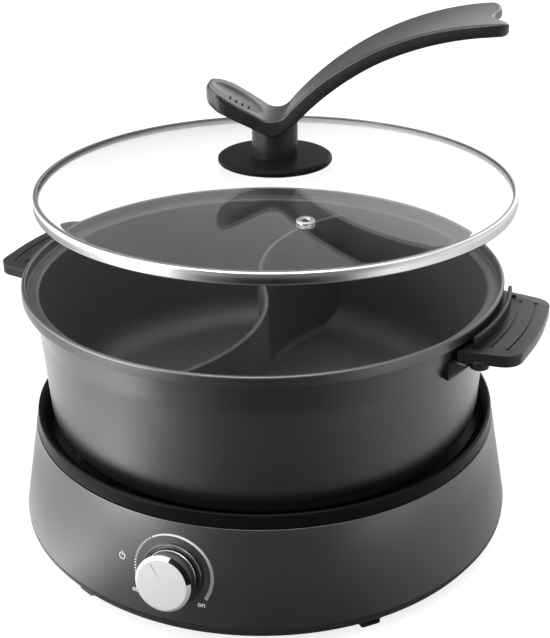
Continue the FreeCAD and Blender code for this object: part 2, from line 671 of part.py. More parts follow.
def build_reflector():
    outer = size("reflector_radius")
    inner = less(outer, size("reflector_wall"))
    top = total(REFLECTOR_LOW, size("reflector_rim"))
    dish = revolved("reflector_dish", [
        (size("reflector_hole"), REFLECTOR_LOW), (outer, REFLECTOR_LOW), (outer, top), (inner, top),
        (inner, REFLECTOR_TOP), (size("reflector_hole"), REFLECTOR_TOP)])
    holes = []
    for place in range(count("stud_count")):
        x, y = stud_place(place)
        holes.append(cylinder("reflector_stud_hole_%d" % place,
                              total(size("stud_radius"), size("static_gap")), MARGIN, x, y,
                              less(REFLECTOR_LOW, half(MARGIN))))
    for place, angle in enumerate(("0", size("element_sweep"))):
        holes.append(cylinder("reflector_pin_hole_%d" % place,
                              total(size("element_pin_radius"), size("end_gap")), MARGIN,
                              polar_x(size("element_circle"), angle),
                              polar_y(size("element_circle"), angle),
                              less(REFLECTOR_LOW, half(MARGIN))))
    node("heat_reflector", cut("heat_reflector_cut", dish, group("reflector_cutter", holes)))


def stud_place(place):
    angle = "(%s + %d * 360 / %s)" % (QUARTER_TURN, place, size("stud_count"))
    return polar_x(size("stud_circle"), angle), polar_y(size("stud_circle"), angle)


def hexagon(radius):
    return [(polar_x(radius, "%d * 60" % place), polar_y(radius, "%d * 60" % place))
            for place in range(6)]


def build_studs():
    studs = []
    nuts = []
    for place in range(count("stud_count")):
        x, y = stud_place(place)
        studs.append(cylinder("plate_stud_%d" % place, size("stud_radius"), size("stud_length"),
                              x, y, less(PLATE_LOW, size("stud_length"))))
        nut = padded("stud_nut_%d" % place, hexagon(size("stud_nut_radius")),
                     size("stud_nut_height"),
                     circles=[("0", "0", total(size("stud_radius"), size("fixed_gap")))])
        nuts.append(put(nut, x, y, less(REFLECTOR_LOW, size("stud_nut_height"))))
    node("plate_studs", group("plate_studs", studs))
    node("stud_nuts", group("stud_nuts", nuts))


def build_sensor():
    bore = total(size("sensor_stem_radius"), size("sensor_bore_gap"))
    sleeve = total(bore, size("sensor_sleeve_wall"))
    shoulder = total(sleeve, size("spring_gap"), size("spring_wall"))
    shoulder_top = total(REFLECTOR_TOP, size("sensor_shoulder"))
    node("sensor_sleeve", revolved("sensor_sleeve", [
        (bore, REFLECTOR_TOP), (shoulder, REFLECTOR_TOP), (shoulder, shoulder_top),
        (sleeve, shoulder_top), (sleeve, total(REFLECTOR_TOP, size("sensor_sleeve_height"))),
        (bore, total(REFLECTOR_TOP, size("sensor_sleeve_height")))]))
    cap_top = less(PLATE_TOP, size("sensor_sink"))
    cap_low = less(cap_top, size("sensor_cap_height"))
    node("sensor_cap", revolved("sensor_cap", [
        ("0", cap_low), (size("sensor_cap_radius"), cap_low),
        (size("sensor_cap_radius"), less(cap_top, size("plate_bevel"))),
        (less(size("sensor_cap_radius"), size("plate_bevel")), cap_top), ("0", cap_top)]))
    node("sensor_stem", cylinder("sensor_stem", size("sensor_stem_radius"),
                                 size("sensor_stem_length"),
                                 z=less(cap_low, size("sensor_stem_length"))))
    build_spring(shoulder_top, cap_low)


def build_spring(low, top):
    """A folded metal bellows between the sleeve's shoulder and the cap's underside."""
    inner = total(size("sensor_stem_radius"), size("sensor_bore_gap"),
                  size("sensor_sleeve_wall"), size("spring_gap"))
    levels = count("spring_folds") * 2
    inside = []
    outside = []
    for place in range(levels + 1):
        height = "(%s + %d * (%s - %s) / %d)" % (low, place, top, low, levels)
        radius = total(inner, size("spring_fold")) if place % 2 else inner
        inside.append((radius, height))
        outside.append((total(radius, size("spring_wall")), height))
    node("sensor_spring", revolved("sensor_spring", inside + outside[::-1]))


def build_fuse():
    lift = less(PLATE_LOW, size("fuse_radius"), size("fuse_clip_wall"), size("fixed_gap"))
    length = size("fuse_length")
    barrel = cylinder("fuse_barrel", size("fuse_radius"), length, neg(half(length)),
                      neg(size("fuse_place")), lift, Y_AXIS, QUARTER_TURN)
    node("thermal_fuse", barrel)
    outside = total(size("fuse_radius"), size("fuse_clip_wall"))
    body = middle_block("clip_block", size("fuse_clip_width"), "(2 * %s)" % outside,
                        "(2 * %s)" % outside, neg(outside))
    hole = cylinder("clip_hole", total(size("fuse_radius"), size("fixed_gap")),
                    total(size("fuse_clip_width"), MARGIN),
                    neg(half(total(size("fuse_clip_width"), MARGIN))), "0", "0",
                    Y_AXIS, QUARTER_TURN)
    clip = cut("fuse_clip_cut", body, hole)
    node("fuse_clip", framed("fuse_clip_placed", clip, "0", neg(size("fuse_place")), lift))


# --- knob --------------------------------------------------------------------------------

def build_bezel():
    outer = size("bezel_radius")
    clip = total(outer, size("bezel_clip"))
    floor_low = neg(size("bezel_depth"))
    floor_top = total(floor_low, size("bezel_floor"))
    clip_top = total(floor_low, size("bezel_clip_height"))
    hole = total(size("shaft_radius"), size("shaft_room"))
    dish = revolved("bezel_dish", [
        (hole, floor_low), (clip, floor_low), (clip, clip_top), (outer, clip_top),
        (outer, less(size("bezel_rise"), size("bezel_bevel"))),
        (less(outer, size("bezel_bevel")), size("bezel_rise")),
        (total(size("bezel_bore"), half(size("bezel_bevel"))), size("bezel_rise")),
        (size("bezel_bore"), floor_top), (hole, floor_top)])
    holes = [cylinder("bezel_hole_%d" % place,
                      total(size("small_screw_radius"), size("fixed_gap")),
                      total(size("bezel_floor"), MARGIN), x, "0", less(floor_low, half(MARGIN)))
             for place, x in enumerate(screw_pair())]
    node("knob_bezel", on_front("knob_bezel_placed",
                                cut("bezel_cut", dish, group("bezel_cutter", holes))))


def screw_pair():
    return size("bezel_screw_spread"), neg(size("bezel_screw_spread"))


def build_regulator():
    front = neg(size("bezel_depth"))
    case = middle_block("regulator_case", size("regulator_length"), size("regulator_width"),
                        size("regulator_depth"), less(front, size("regulator_depth")))
    sink = less(size("shaft_depth"), size("bezel_depth"))
    bores = [cylinder("regulator_bore", total(size("shaft_radius"), size("shaft_gap")),
                      total(sink, size("end_gap"), MARGIN), z=less(front, sink, size("end_gap")))]
    depth = less(total(size("small_screw_length"), size("end_gap")), size("bezel_floor"))
    for place, x in enumerate(screw_pair()):
        bores.append(cylinder("regulator_screw_hole_%d" % place,
                              total(size("small_screw_radius"), size("fixed_gap")),
                              total(depth, MARGIN), x, "0", less(front, depth)))
    node("regulator", on_front("regulator_placed",
                               cut("regulator_cut", case, group("regulator_cutter", bores))))
    screws = []
    for place, x in enumerate(screw_pair()):
        one = screw("bezel_screw_%d" % place, size("small_screw_radius"),
                    size("small_screw_length"), size("small_head_radius"),
                    size("small_head_height"))
        screws.append(put(one, x, "0", total(front, size("bezel_floor")), X_AXIS, HALF_TURN))
    node("bezel_screws", on_front("bezel_screws_placed", group("bezel_screw_pair", screws)))


def build_knob():
    low = size("knob_lift")
    top = total(low, size("knob_body_height"))
    barrel = cylinder("knob_barrel", size("knob_radius"), size("knob_body_height"), z=low)
    shaft_top = less(top, size("shaft_end"))
    bore = cylinder("knob_bore", total(size("shaft_radius"), size("fixed_gap")),
                    total(less(shaft_top, low), half(MARGIN)), z=less(low, half(MARGIN)))
    node("knob_body", on_front("knob_body_placed", cut("knob_body_cut", barrel, bore)))
    cap_top = total(top, size("cap_height"))
    disc = revolved("cap_disc", [
        ("0", top), (size("cap_radius"), top),
        (size("cap_radius"), less(cap_top, size("cap_bevel"))),
        (less(size("cap_radius"), size("cap_bevel")), cap_top), ("0", cap_top)])
    wedge = padded("pointer_wedge", [
        (neg(half(size("pointer_width"))), size("pointer_outer")),
        ("0", size("pointer_inner")), (half(size("pointer_width")), size("pointer_outer"))],
        total(size("pointer_depth"), half(MARGIN)), less(cap_top, size("pointer_depth")))
    turned = framed("pointer_turned", wedge, angle=size("pointer_angle"))
    node("knob_cap", on_front("knob_cap_placed", cut("knob_cap_cut", disc, turned)))
    shaft = cylinder("shaft_rod", size("shaft_radius"), total(size("shaft_depth"), shaft_top),
                     z=neg(size("shaft_depth")))
    node("knob_shaft", on_front("knob_shaft_placed", shaft))


# --- power inlet -------------------------------------------------------------------------

def build_inlet():
    back = less(size("inlet_rise"), size("inlet_depth"))
    body = padded("inlet_block", rectangle(size("inlet_width"), size("inlet_tall"),
                                           size("inlet_corner")), size("inlet_depth"), back)
    clip_width = total(size("inlet_width"), "2 * " + size("inlet_clip"))
    clip_tall = total(size("inlet_tall"), "2 * " + size("inlet_clip"))
    clip = middle_block("inlet_clip_block", clip_width, clip_tall, size("inlet_clip_height"),
                        neg(size("inlet_clip_place")))
    solid = fuse("inlet_solid", [body, clip])
    mouth_width = less(size("inlet_width"), "2 * " + size("inlet_wall"))
    mouth_tall = less(size("inlet_tall"), "2 * " + size("inlet_wall"))
    floor = total(back, size("inlet_floor"))
    cavity = padded("inlet_cavity", rectangle(mouth_width, mouth_tall, half(size("inlet_corner"))),
                    total(less(size("inlet_depth"), size("inlet_floor")), half(MARGIN)), floor)
    bores = [cylinder("inlet_pin_hole_%d" % place, total(size("pin_radius"), size("fixed_gap")),
                      total(size("inlet_floor"), MARGIN), x, "0", less(back, half(MARGIN)))
             for place, x in enumerate((size("pin_spread"), neg(size("pin_spread"))))]
    cutter = group("inlet_cutter", [cavity] + bores)
    node("power_inlet", on_back("power_inlet_placed", cut("power_inlet_cut", solid, cutter)))
    pins = [cylinder("inlet_pin_%d" % place, size("pin_radius"),
                     total(size("pin_tail"), size("inlet_floor"), size("pin_length")), x, "0",
                     less(back, size("pin_tail")))
            for place, x in enumerate((size("pin_spread"), neg(size("pin_spread"))))]
    node("inlet_pins", on_back("inlet_pins_placed", group("inlet_pin_pair", pins)))


# --- pot ---------------------------------------------------------------------------------

def pot_placed(label, thing, extra="0"):
    return framed(label, thing, angle=total(size("pot_turn"), extra))


def build_pot():
    lip = LIP_RADIUS
    bevel = size("lip_bevel")
    shell = revolved("pot_shell", [
        ("0", POT_LOW), (size("pot_low_radius"), POT_LOW), (POT_WALL_RADIUS, FLARE_LOW),
        (FLARE_RADIUS, LIP_LOW), (lip, total(LIP_LOW, bevel)), (lip, less(POT_TOP, bevel)),
        (less(lip, bevel), POT_TOP), (total(LIP_INNER, bevel), POT_TOP),
        (LIP_INNER, less(POT_TOP, bevel)), (less(LIP_INNER, size("lip_taper")), LEDGE),
        (LEDGE_RADIUS, LEDGE), (INSIDE_RADIUS, POT_INSIDE), ("0", POT_INSIDE)])
    rounded(shell, size("pot_corner"), circle_at(size("pot_low_radius"), POT_LOW))
    rounded(shell, less(size("pot_corner"), size("pot_wall")),
            circle_at(INSIDE_RADIUS, POT_INSIDE))
    node("pot_shell", pot_placed("pot_shell_placed", shell))


def build_divider():
    """An S-shaped wall made of two arcs that meet on the pot's axis."""
    top = less(LEDGE, size("divider_drop"))
    gap = size("divider_gap")
    low = total(POT_INSIDE, gap)
    height = less(top, low)
    inside = revolved("divider_room", [
        ("0", low), (less(INSIDE_RADIUS, gap), low),
        ("(%s - %s + (%s - %s) * (%s - %s) / (%s - %s))" % (
            INSIDE_RADIUS, gap, LEDGE_RADIUS, INSIDE_RADIUS, top, POT_INSIDE, LEDGE, POT_INSIDE),
         top), ("0", top)])
    rounded(inside, less(size("pot_corner"), size("pot_wall")),
            circle_at(less(INSIDE_RADIUS, gap), low))
    quarter = half(LEDGE_RADIUS)
    bulge = size("divider_bulge")
    arc_radius = "((%s ^ 2 + %s ^ 2) / (2 * %s))" % (quarter, bulge, bulge)
    arc_offset = less(arc_radius, bulge)
    arcs = []
    for place, (x, y, box_x) in enumerate((
            (arc_offset, quarter, neg(arc_radius)), (neg(arc_offset), neg(quarter), "0"))):
        wall = ring("divider_ring_%d" % place, less(arc_radius, half(size("divider_wall"))),
                    size("divider_wall"), height, low)
        moved = framed("divider_ring_placed_%d" % place, wall, x, y)
        side = block("divider_side_%d" % place, arc_radius, "(2 * %s)" % LEDGE_RADIUS, height,
                     box_x, neg(LEDGE_RADIUS), low)
        arcs.append(common("divider_arc_%d" % place, moved, side))
    wave = fuse("divider_wave", arcs)
    node("pot_divider", pot_placed("pot_divider_placed", common("divider_trimmed", wave, inside)))


def pot_envelope(label, gap):
    """The pot's outer wall grown by a gap, used to shape what hugs it."""
    return revolved(label, [
        ("0", POT_LOW), (total(size("pot_low_radius"), gap), POT_LOW),
        (total(POT_WALL_RADIUS, gap), FLARE_LOW),
        (total(FLARE_RADIUS, gap), LIP_LOW), ("0", LIP_LOW)])


def arc_strip(label, radius, wall, height, z, half_width):
    """A strip that follows a circle round the pot's axis on its +X side."""
    tube = ring(label + "_tube", radius, wall, height, z)
    window = block(label + "_window", total(radius, wall), "(2 * %s)" % half_width, height,
                   "0", neg(half_width), z)
    return common(label, tube, window)


def build_grip(side, turn):
    label = "handle_grip_" + side
    reach = GRIP_REACH
    end = GRIP_END
    sag = less(reach, end)
    arch = "((%s ^ 2 + %s ^ 2) / (2 * %s))" % (size("grip_end_half"), sag, sag)
    plate = padded(label + "_plate", [
        (GRIP_ROOT, neg(size("grip_root_half"))),
        (end, neg(size("grip_end_half")), arch, 1), (end, size("grip_end_half")),
        (GRIP_ROOT, size("grip_root_half"))], size("grip_height"), GRIP_LOW)
    rounded(plate, size("grip_corner"),
            lambda edge: upright(edge) and edge.Vertexes[0].Point.x > number(end) - TOUCH)
    rounded(plate, size("grip_edge"), outer_rim_edges(GRIP_TOP, GRIP_ROOT))
    hug = cylinder(label + "_hug", total(FLARE_RADIUS, size("grip_pot_gap")),
                   total(size("grip_height"), size("rib_height"), MARGIN),
                   z=less(GRIP_LOW, half(MARGIN)))
    channel = arc_strip(label + "_channel", total(RIB_RADIUS, size("rib_wall")),
                        size("channel_width"), total(size("channel_depth"), half(MARGIN)),
                        less(GRIP_TOP, size("channel_depth")), size("channel_half"))
    cutters = [hug, channel]
    for place in range(count("groove_count")):
        radius = "(%s + %d * %s)" % (GROOVE_RADIUS, place, size("groove_pitch"))
        cutters.append(arc_strip("%s_groove_%d" % (label, place), radius, size("groove_width"),
                                 total(size("groove_depth"), half(MARGIN)),
                                 less(GRIP_TOP, size("groove_depth")), size("groove_half")))
    for place, (x, y) in enumerate(grip_screw_places()):
        cutters.append(cylinder("%s_screw_hole_%d" % (label, place),
                                total(size("grip_screw_radius"), size("fixed_gap")),
                                size("grip_screw_length"), x, y, less(GRIP_LOW, size("end_gap"))))
    carved = cut(label + "_carved", plate, group(label + "_cutter", cutters))
    rib = arc_strip(label + "_rib", RIB_RADIUS, size("rib_wall"), size("rib_height"),
                    GRIP_TOP, size("rib_half"))
    boss = cylinder(label + "_boss", size("boss_radius"), size("boss_height"),
                    RIB_RADIUS, size("boss_place"), less(GRIP_LOW, size("boss_height")))
    whole = fuse(label + "_whole", [carved, rib, boss])
    node(label, pot_placed(label + "_placed", whole, turn))


def outer_rim_edges(height, reach):
    """Pick edges at a height that go further out in X than reach."""
    def picks(edge):
        if len(edge.Vertexes) != 2:
            return False
        level = all(abs(corner.Point.z - number(height)) < TOUCH for corner in edge.Vertexes)
        far = any(corner.Point.x > number(reach) + TOUCH for corner in edge.Vertexes)
        return level and far
    return picks


def grip_screw_places():
    return [(polar_x(GRIP_SCREW_REACH, angle), polar_y(GRIP_SCREW_REACH, angle))
            for angle in (size("grip_screw_angle"), neg(size("grip_screw_angle")))]


def build_bracket(side, turn):
    label = "handle_bracket_" + side
    foot_radius = total(POT_WALL_RADIUS, size("bracket_foot"))
    hoop = revolved(label + "_hoop", [
        (size("pot_low_radius"), BRACKET_LOW), (foot_radius, BRACKET_LOW),
        (BRACKET_REACH, GRIP_LOW), (size("pot_low_radius"), GRIP_LOW)])
    window = block(label + "_window", BRACKET_REACH, "(2 * %s)" % size("bracket_half"),
                   size("bracket_height"), "0", neg(size("bracket_half")), BRACKET_LOW)
    sector = common(label + "_sector", hoop, window)
    room_half = less(size("bracket_half"), size("bracket_wall"))
    room_height = less(size("bracket_height"), size("bracket_top"))
    room = arc_strip(label + "_room", foot_radius, BRACKET_REACH,
                     total(room_height, half(MARGIN)), less(BRACKET_LOW, half(MARGIN)), room_half)
    notch = cylinder(label + "_boss_room", total(size("boss_radius"), size("bracket_gap")),
                     total(size("boss_height"), MARGIN), RIB_RADIUS, size("boss_place"),
                     less(GRIP_LOW, size("boss_height"), size("bracket_gap")))
    cutters = [pot_envelope(label + "_pot_room", size("bracket_gap")), room, notch]
    for place, (x, y) in enumerate(grip_screw_places()):
        cutters.append(cylinder("%s_hole_%d" % (label, place),
                                total(size("grip_screw_radius"), size("fixed_gap")),
                                total(size("bracket_top"), MARGIN), x, y,
                                less(GRIP_LOW, size("bracket_top"), half(MARGIN))))
    for place, angle in enumerate(pin_angles()):
        cutters.append(radial_rod("%s_pin_hole_%d" % (label, place), angle,
                                  total(size("stud_pin_radius"), size("static_gap")),
                                  size("pot_low_radius"), BRACKET_REACH))
    carved = cut(label + "_carved", sector, group(label + "_cutter", cutters))
    node(label, pot_placed(label + "_placed", carved, turn))


def pin_angles():
    return size("stud_pin_angle"), neg(size("stud_pin_angle"))


def radial_rod(label, angle, radius, start, end):
    """A rod that points away from the pot's axis at the studs' height."""
    rod = cylinder(label + "_rod", radius, less(end, start), start, "0", "0",
                   Y_AXIS, QUARTER_TURN)
    return framed(label, rod, z=less(GRIP_LOW, size("stud_pin_drop")), angle=angle)


def build_handle_fasteners():
    screws = []
    pins = []
    nuts = []
    seat = total(POT_WALL_RADIUS, size("bracket_foot"))
    for side, turn in HANDLE_SIDES:
        for place, (x, y) in enumerate(grip_screw_places()):
            one = screw("grip_screw_%s_%d" % (side, place), size("grip_screw_radius"),
                        less(size("grip_screw_length"), half(MARGIN)),
                        size("grip_screw_head"), size("grip_screw_head_height"))
            put(one, x, y, less(GRIP_LOW, size("bracket_top")))
            screws.append(pot_placed("grip_screw_%s_%d_placed" % (side, place), one, turn))
        for place, angle in enumerate(pin_angles()):
            name = "%s_%d" % (side, place)
            start = POT_WALL_RADIUS
            pin = radial_rod("wall_stud_" + name, angle, size("stud_pin_radius"), start,
                             total(start, size("stud_pin_length")))
            pins.append(pot_placed("wall_stud_placed_" + name, pin, turn))
            nut = padded("wall_nut_" + name, hexagon(size("nut_radius")), size("nut_height"),
                         circles=[("0", "0", total(size("stud_pin_radius"), size("fixed_gap")))])
            put(nut, seat, "0", "0", Y_AXIS, QUARTER_TURN)
            raised = framed("wall_nut_raised_" + name, nut,
                            z=less(GRIP_LOW, size("stud_pin_drop")), angle=angle)
            nuts.append(pot_placed("wall_nut_placed_" + name, raised, turn))
    node("grip_screws", group("grip_screws", screws))
    node("wall_studs", group("wall_studs", pins))
    node("wall_nuts", group("wall_nuts", nuts))


HANDLE_SIDES = (("right", "0"), ("left", HALF_TURN))


# --- lid ---------------------------------------------------------------------------------

def lid_placed(label, thing):
    """Turn a piece of the lid, which hovers a little to one side of the pot's axis."""
    return framed(label, thing, polar_x(size("lid_aside"), size("lid_aside_turn")),
                  polar_y(size("lid_aside"), size("lid_aside_turn")), angle=size("lid_turn"))


def build_glass():
    centre = less(APEX, DOME_RADIUS)
    outside = doc.addObject("Part::Sphere", "dome_outside")
    outside.setExpression("Radius", DOME_RADIUS)
    put(outside, z=centre)
    inside = doc.addObject("Part::Sphere", "dome_inside")
    inside.setExpression("Radius", less(DOME_RADIUS, size("glass_wall")))
    put(inside, z=centre)
    cap = cylinder("dome_cap", GLASS_RADIUS, "(4 * %s)" % size("dome_rise"),
                   z=less(APEX, "3 * " + size("dome_rise")))
    shell = common("dome_shell", cut("dome_wall", outside, inside), cap)
    centre_hole = cylinder("glass_centre_hole", size("glass_hole"), "(3 * %s)" % size("glass_wall"),
                           z=less(GLASS_LOW, size("glass_wall")))
    vent_hole = vent_framed("glass_vent_hole", cylinder(
        "vent_cutter", total(size("vent_sleeve"), size("static_gap")),
        "(4 * %s)" % size("glass_wall"), z="(-2 * %s)" % size("glass_wall")))
    cutter = group("glass_cutter", [centre_hole, vent_hole])
    node("lid_glass", lid_placed("lid_glass_placed", cut("lid_glass_cut", shell, cutter)))


def vent_framed(label, thing):
    """Stand a piece on the dome at the steam vent, square to the glass."""
    tilt = "(asin(%s / %s) / 1 deg)" % (size("vent_place"), DOME_RADIUS)
    centre = less(APEX, DOME_RADIUS)
    leaned = framed(label + "_leaned", framed(label + "_out", thing, z=DOME_RADIUS),
                    z=centre, axis=Y_AXIS, angle=tilt)
    return framed(label, leaned, angle=size("vent_angle"))


def build_band():
    wall = size("band_wall")
    outer = LID_RADIUS
    bevel = size("band_bevel")
    node("lid_band", lid_placed("lid_band_placed", revolved("lid_band", [
        (BAND_LOW_REACH, LID_LOW), (outer, LID_LOW), (outer, less(BAND_TOP, bevel)),
        (less(outer, bevel), BAND_TOP), (BAND_TOP_REACH, BAND_TOP),
        (BAND_TOP_REACH, less(BAND_TOP, wall)), (less(outer, bevel), less(BAND_TOP, wall)),
        (less(outer, wall), less(BAND_TOP, bevel)), (less(outer, wall), total(LID_LOW, wall)),
        (BAND_LOW_REACH, total(LID_LOW, wall))])))


def build_seals():
    low = total(LID_LOW, size("band_wall"), size("seal_gap"))
    bed = ring("seal_bed", BAND_LOW_REACH,
               less(LID_RADIUS, size("band_wall"), size("seal_gap"),
                    BAND_LOW_REACH), size("seal_height"), low)
    inner = less(BAND_TOP_REACH, size("seal_lip"), size("seal_gap"))
    lip = ring("seal_lip_ring", inner, size("seal_lip"), size("band_wall"),
               total(BAND_TOP, neg(size("band_wall")), size("seal_rise")))
    node("lid_seals", lid_placed("lid_seals_placed", group("seal_pair", [bed, lip])))


def build_vent():
    flange = size("vent_flange_height")
    under = neg(total(size("glass_wall"), flange))
    gap = size("fixed_gap")
    eyelet = revolved("vent_eyelet", [
        (size("vent_radius"), under), (size("vent_flange"), under),
        (size("vent_flange"), less(neg(size("glass_wall")), gap)),
        (size("vent_sleeve"), less(neg(size("glass_wall")), gap)), (size("vent_sleeve"), gap),
        (size("vent_flange"), gap), (less(size("vent_flange"), half(flange)), flange),
        (size("vent_radius"), flange)])
    node("vent_eyelet", lid_placed("vent_eyelet_placed", vent_framed("vent_framed", eyelet)))


def build_seat():
    hole = total(size("handle_screw_radius"), size("static_gap"))
    edge = size("seat_radius")
    node("seat_gasket", lid_placed("seat_gasket_placed", ring(
        "gasket_ring", size("glass_hole"), less(size("washer_pad_radius"), size("glass_hole")),
        less(size("washer_pad"), size("fixed_gap")), total(APEX, size("fixed_gap")))))
    node("handle_seat", lid_placed("handle_seat_placed", revolved("handle_seat", [
        (hole, SEAT_LOW), (edge, SEAT_LOW), (edge, less(SEAT_TOP, size("seat_bevel"))),
        (less(edge, size("seat_bevel")), SEAT_TOP), (hole, SEAT_TOP)])))


def raised(alias):
    """A height that is counted from the seat's top face."""
    return total(SEAT_TOP, size(alias))


def handle_underside():
    """The V handle's lower outline, from the short arm's tip to the long arm's tip."""
    return [
        (neg(size("short_reach")), raised("short_height")),
        (neg(size("short_start")), raised("short_low_height")),
        (size("bend_place"), raised("bend_height")),
        (size("long_low_start"), raised("long_low_start_height"), size("arch_near_radius"), -1),
        (size("long_low_mid"), raised("long_low_mid_height"), size("arch_far_radius"), -1),
        (size("long_low_end"), raised("long_low_end_height")),
    ]


def build_handle():
    top = [
        (size("long_end"), raised("long_end_height"), size("arch_far_radius"), 1),
        (size("long_mid"), raised("long_mid_height"), size("arch_near_radius"), 1),
        (size("long_start"), raised("long_start_height"), size("bend_round"), -1),
        (neg(size("short_start")), raised("short_start_height")),
        (neg(size("short_tip_reach")), raised("short_tip_height")),
    ]
    width = "(2 * %s)" % size("arm_half_tip")
    side = padded("handle_side", handle_underside() + top, width, role="XZ_Plane", centred=True)
    tip = total(size("long_low_end"), half(MARGIN))
    tail = size("arm_half_tip")
    lobe = size("tail_lobe")
    notch = "((%s ^ 2 + %s ^ 2) / (2 * %s))" % (lobe, size("tail_notch"), size("tail_notch"))
    short = neg(total(size("short_reach"), half(MARGIN)))
    corner = size("short_corner")
    inner = less(size("arm_half_short"), corner)
    outline = [
        (short, neg(inner), corner, 1), (total(short, corner), neg(size("arm_half_short"))),
        ("0", neg(size("arm_half_bend"))),
        (less(tip, size("tail_corner")), neg(tail), size("tail_round"), 1),
        (tip, neg(lobe), notch, -1), (tip, lobe, size("tail_round"), 1),
        (less(tip, size("tail_corner")), tail), ("0", size("arm_half_bend")),
        (total(short, corner), size("arm_half_short"), corner, 1), (short, inner)]
    plan = padded("handle_plan", outline, "(2 * %s)" % size("long_end_height"), SEAT_TOP)
    node("lid_handle", lid_placed("lid_handle_placed", common("lid_handle_shape", side, plan)))


def build_post():
    height = size("long_low_start_height")
    rod = cylinder("post_top_rod", size("post_top_radius"), height, z=SEAT_TOP)
    foot = cylinder("post_foot", total(size("post_top_radius"), size("post_foot")),
                    size("post_foot_height"), z=SEAT_TOP)
    tip, low, bend, rise = [corner[:2] for corner in handle_underside()[:4]]
    ceiling = total(tip[1], MARGIN)
    room = padded("post_room", [tip, low, bend, rise, (rise[0], ceiling), (tip[0], ceiling)],
                  "(4 * %s)" % size("post_top_radius"), role="XZ_Plane", centred=True)
    bore = cylinder("post_screw_bore", total(size("handle_screw_radius"), size("fixed_gap")),
                    total(half(height), half(MARGIN)), z=less(SEAT_TOP, half(MARGIN)))
    solid = fuse("post_solid", [rod, foot])
    node("lid_post", lid_placed("lid_post_placed",
                                cut("lid_post_cut", solid, group("post_cutter", [room, bore]))))


def build_lid_fasteners():
    washer_low = less(GLASS_LOW, size("washer_height"), size("washer_gap"))
    hole = total(size("handle_screw_radius"), size("static_gap"))
    node("lid_washer", lid_placed("lid_washer_placed", ring(
        "washer_ring", hole, less(size("washer_radius"), hole), size("washer_height"),
        washer_low)))
    one = screw("handle_screw", size("handle_screw_radius"), size("handle_screw_length"),
                size("handle_screw_head"), size("handle_screw_head_height"))
    node("lid_screw", lid_placed("lid_screw_placed", put(one, z=washer_low)))


# --- whole part --------------------------------------------------------------------------

def build_all():
    build_feet()
    build_cover()
    build_skirt()
    build_rim()
    build_well()
    build_posts()
    build_plate()
    build_element()
    build_reflector()
    build_studs()
    build_sensor()
    build_fuse()
    build_bezel()
    build_regulator()
    build_knob()
    build_inlet()
    build_pot()
    build_divider()
    for side, turn in HANDLE_SIDES:
        build_grip(side, turn)
        build_bracket(side, turn)
    build_handle_fasteners()
    build_glass()
    build_band()
    build_seals()
    build_vent()
    build_seat()
    build_handle()
    build_post()
    build_lid_fasteners()
    doc.recompute()


def check_all():
    for thing in doc.Objects:
        if "Invalid" in thing.State or "Error" in thing.State:
            raise RuntimeError("%s failed: %s" % (thing.Name, thing.State))
    for label, thing in nodes.items():
        shape = thing.Shape
        if shape.isNull() or not shape.isValid() or not shape.Solids:
            raise RuntimeError("sub-part %s has no valid solid" % label)


def write_all():
    os.makedirs("parts", exist_ok=True)
    for label, thing in nodes.items():
        thing.Shape.exportStep(os.path.join("parts", label + ".step"))


build_all()
check_all()
write_all()
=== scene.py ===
"""Electric hot pot with a divided pot and a lift-off glass lid: visible pieces, finishes."""

import json
import math

import bmesh
import bpy
from bpy.props import FloatProperty, FloatVectorProperty, IntProperty, PointerProperty
from mathutils import Matrix, Vector

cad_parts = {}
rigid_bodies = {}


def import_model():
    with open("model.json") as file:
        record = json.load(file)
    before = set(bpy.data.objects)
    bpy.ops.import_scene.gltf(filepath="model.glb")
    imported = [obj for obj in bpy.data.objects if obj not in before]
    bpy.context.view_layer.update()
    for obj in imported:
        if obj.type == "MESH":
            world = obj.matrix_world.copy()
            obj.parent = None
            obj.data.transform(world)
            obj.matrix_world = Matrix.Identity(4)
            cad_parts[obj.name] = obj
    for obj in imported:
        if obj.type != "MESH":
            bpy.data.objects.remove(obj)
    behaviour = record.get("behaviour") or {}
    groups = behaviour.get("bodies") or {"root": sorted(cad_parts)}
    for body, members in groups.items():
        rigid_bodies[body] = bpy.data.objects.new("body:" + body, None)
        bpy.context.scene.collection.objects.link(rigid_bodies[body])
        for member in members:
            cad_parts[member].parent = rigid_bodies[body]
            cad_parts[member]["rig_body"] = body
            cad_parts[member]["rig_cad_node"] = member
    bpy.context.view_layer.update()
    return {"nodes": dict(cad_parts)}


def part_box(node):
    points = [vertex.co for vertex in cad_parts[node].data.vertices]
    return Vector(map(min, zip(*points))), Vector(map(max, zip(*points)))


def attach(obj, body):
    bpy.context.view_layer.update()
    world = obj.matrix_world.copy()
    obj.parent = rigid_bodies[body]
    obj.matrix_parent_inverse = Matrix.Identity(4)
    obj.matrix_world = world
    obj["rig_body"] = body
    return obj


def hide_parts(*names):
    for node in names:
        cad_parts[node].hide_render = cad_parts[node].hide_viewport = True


bl_info = {
    "name": "Electric hot pot",
    "version": (1, 0, 0),
    "blender": (4, 5, 0),
    "location": "3D View > Sidebar > Hot pot",
    "description": "Builds the visible pieces of an electric hot pot on its packed frame",
    "category": "Object",
}

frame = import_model()
MM = 0.001
TURN = 2 * math.pi
# Points that are closer than this are merged, in metres.
MERGE = 0.000001
UP = Vector((0, 0, 1))


# --- sizes and colours -------------------------------------------------------------------

def length(name, description, millimetres):
    return FloatProperty(name=name, description=description, default=millimetres * MM,
                         min=0, precision=5, unit="LENGTH")


def angle(name, description, degrees):
    return FloatProperty(name=name, description=description, default=math.radians(degrees),
                         subtype="ANGLE")


def colour(name, description, value):
    return FloatVectorProperty(name=name, description=description, default=value, size=3,
                               min=0, max=1, subtype="COLOR")


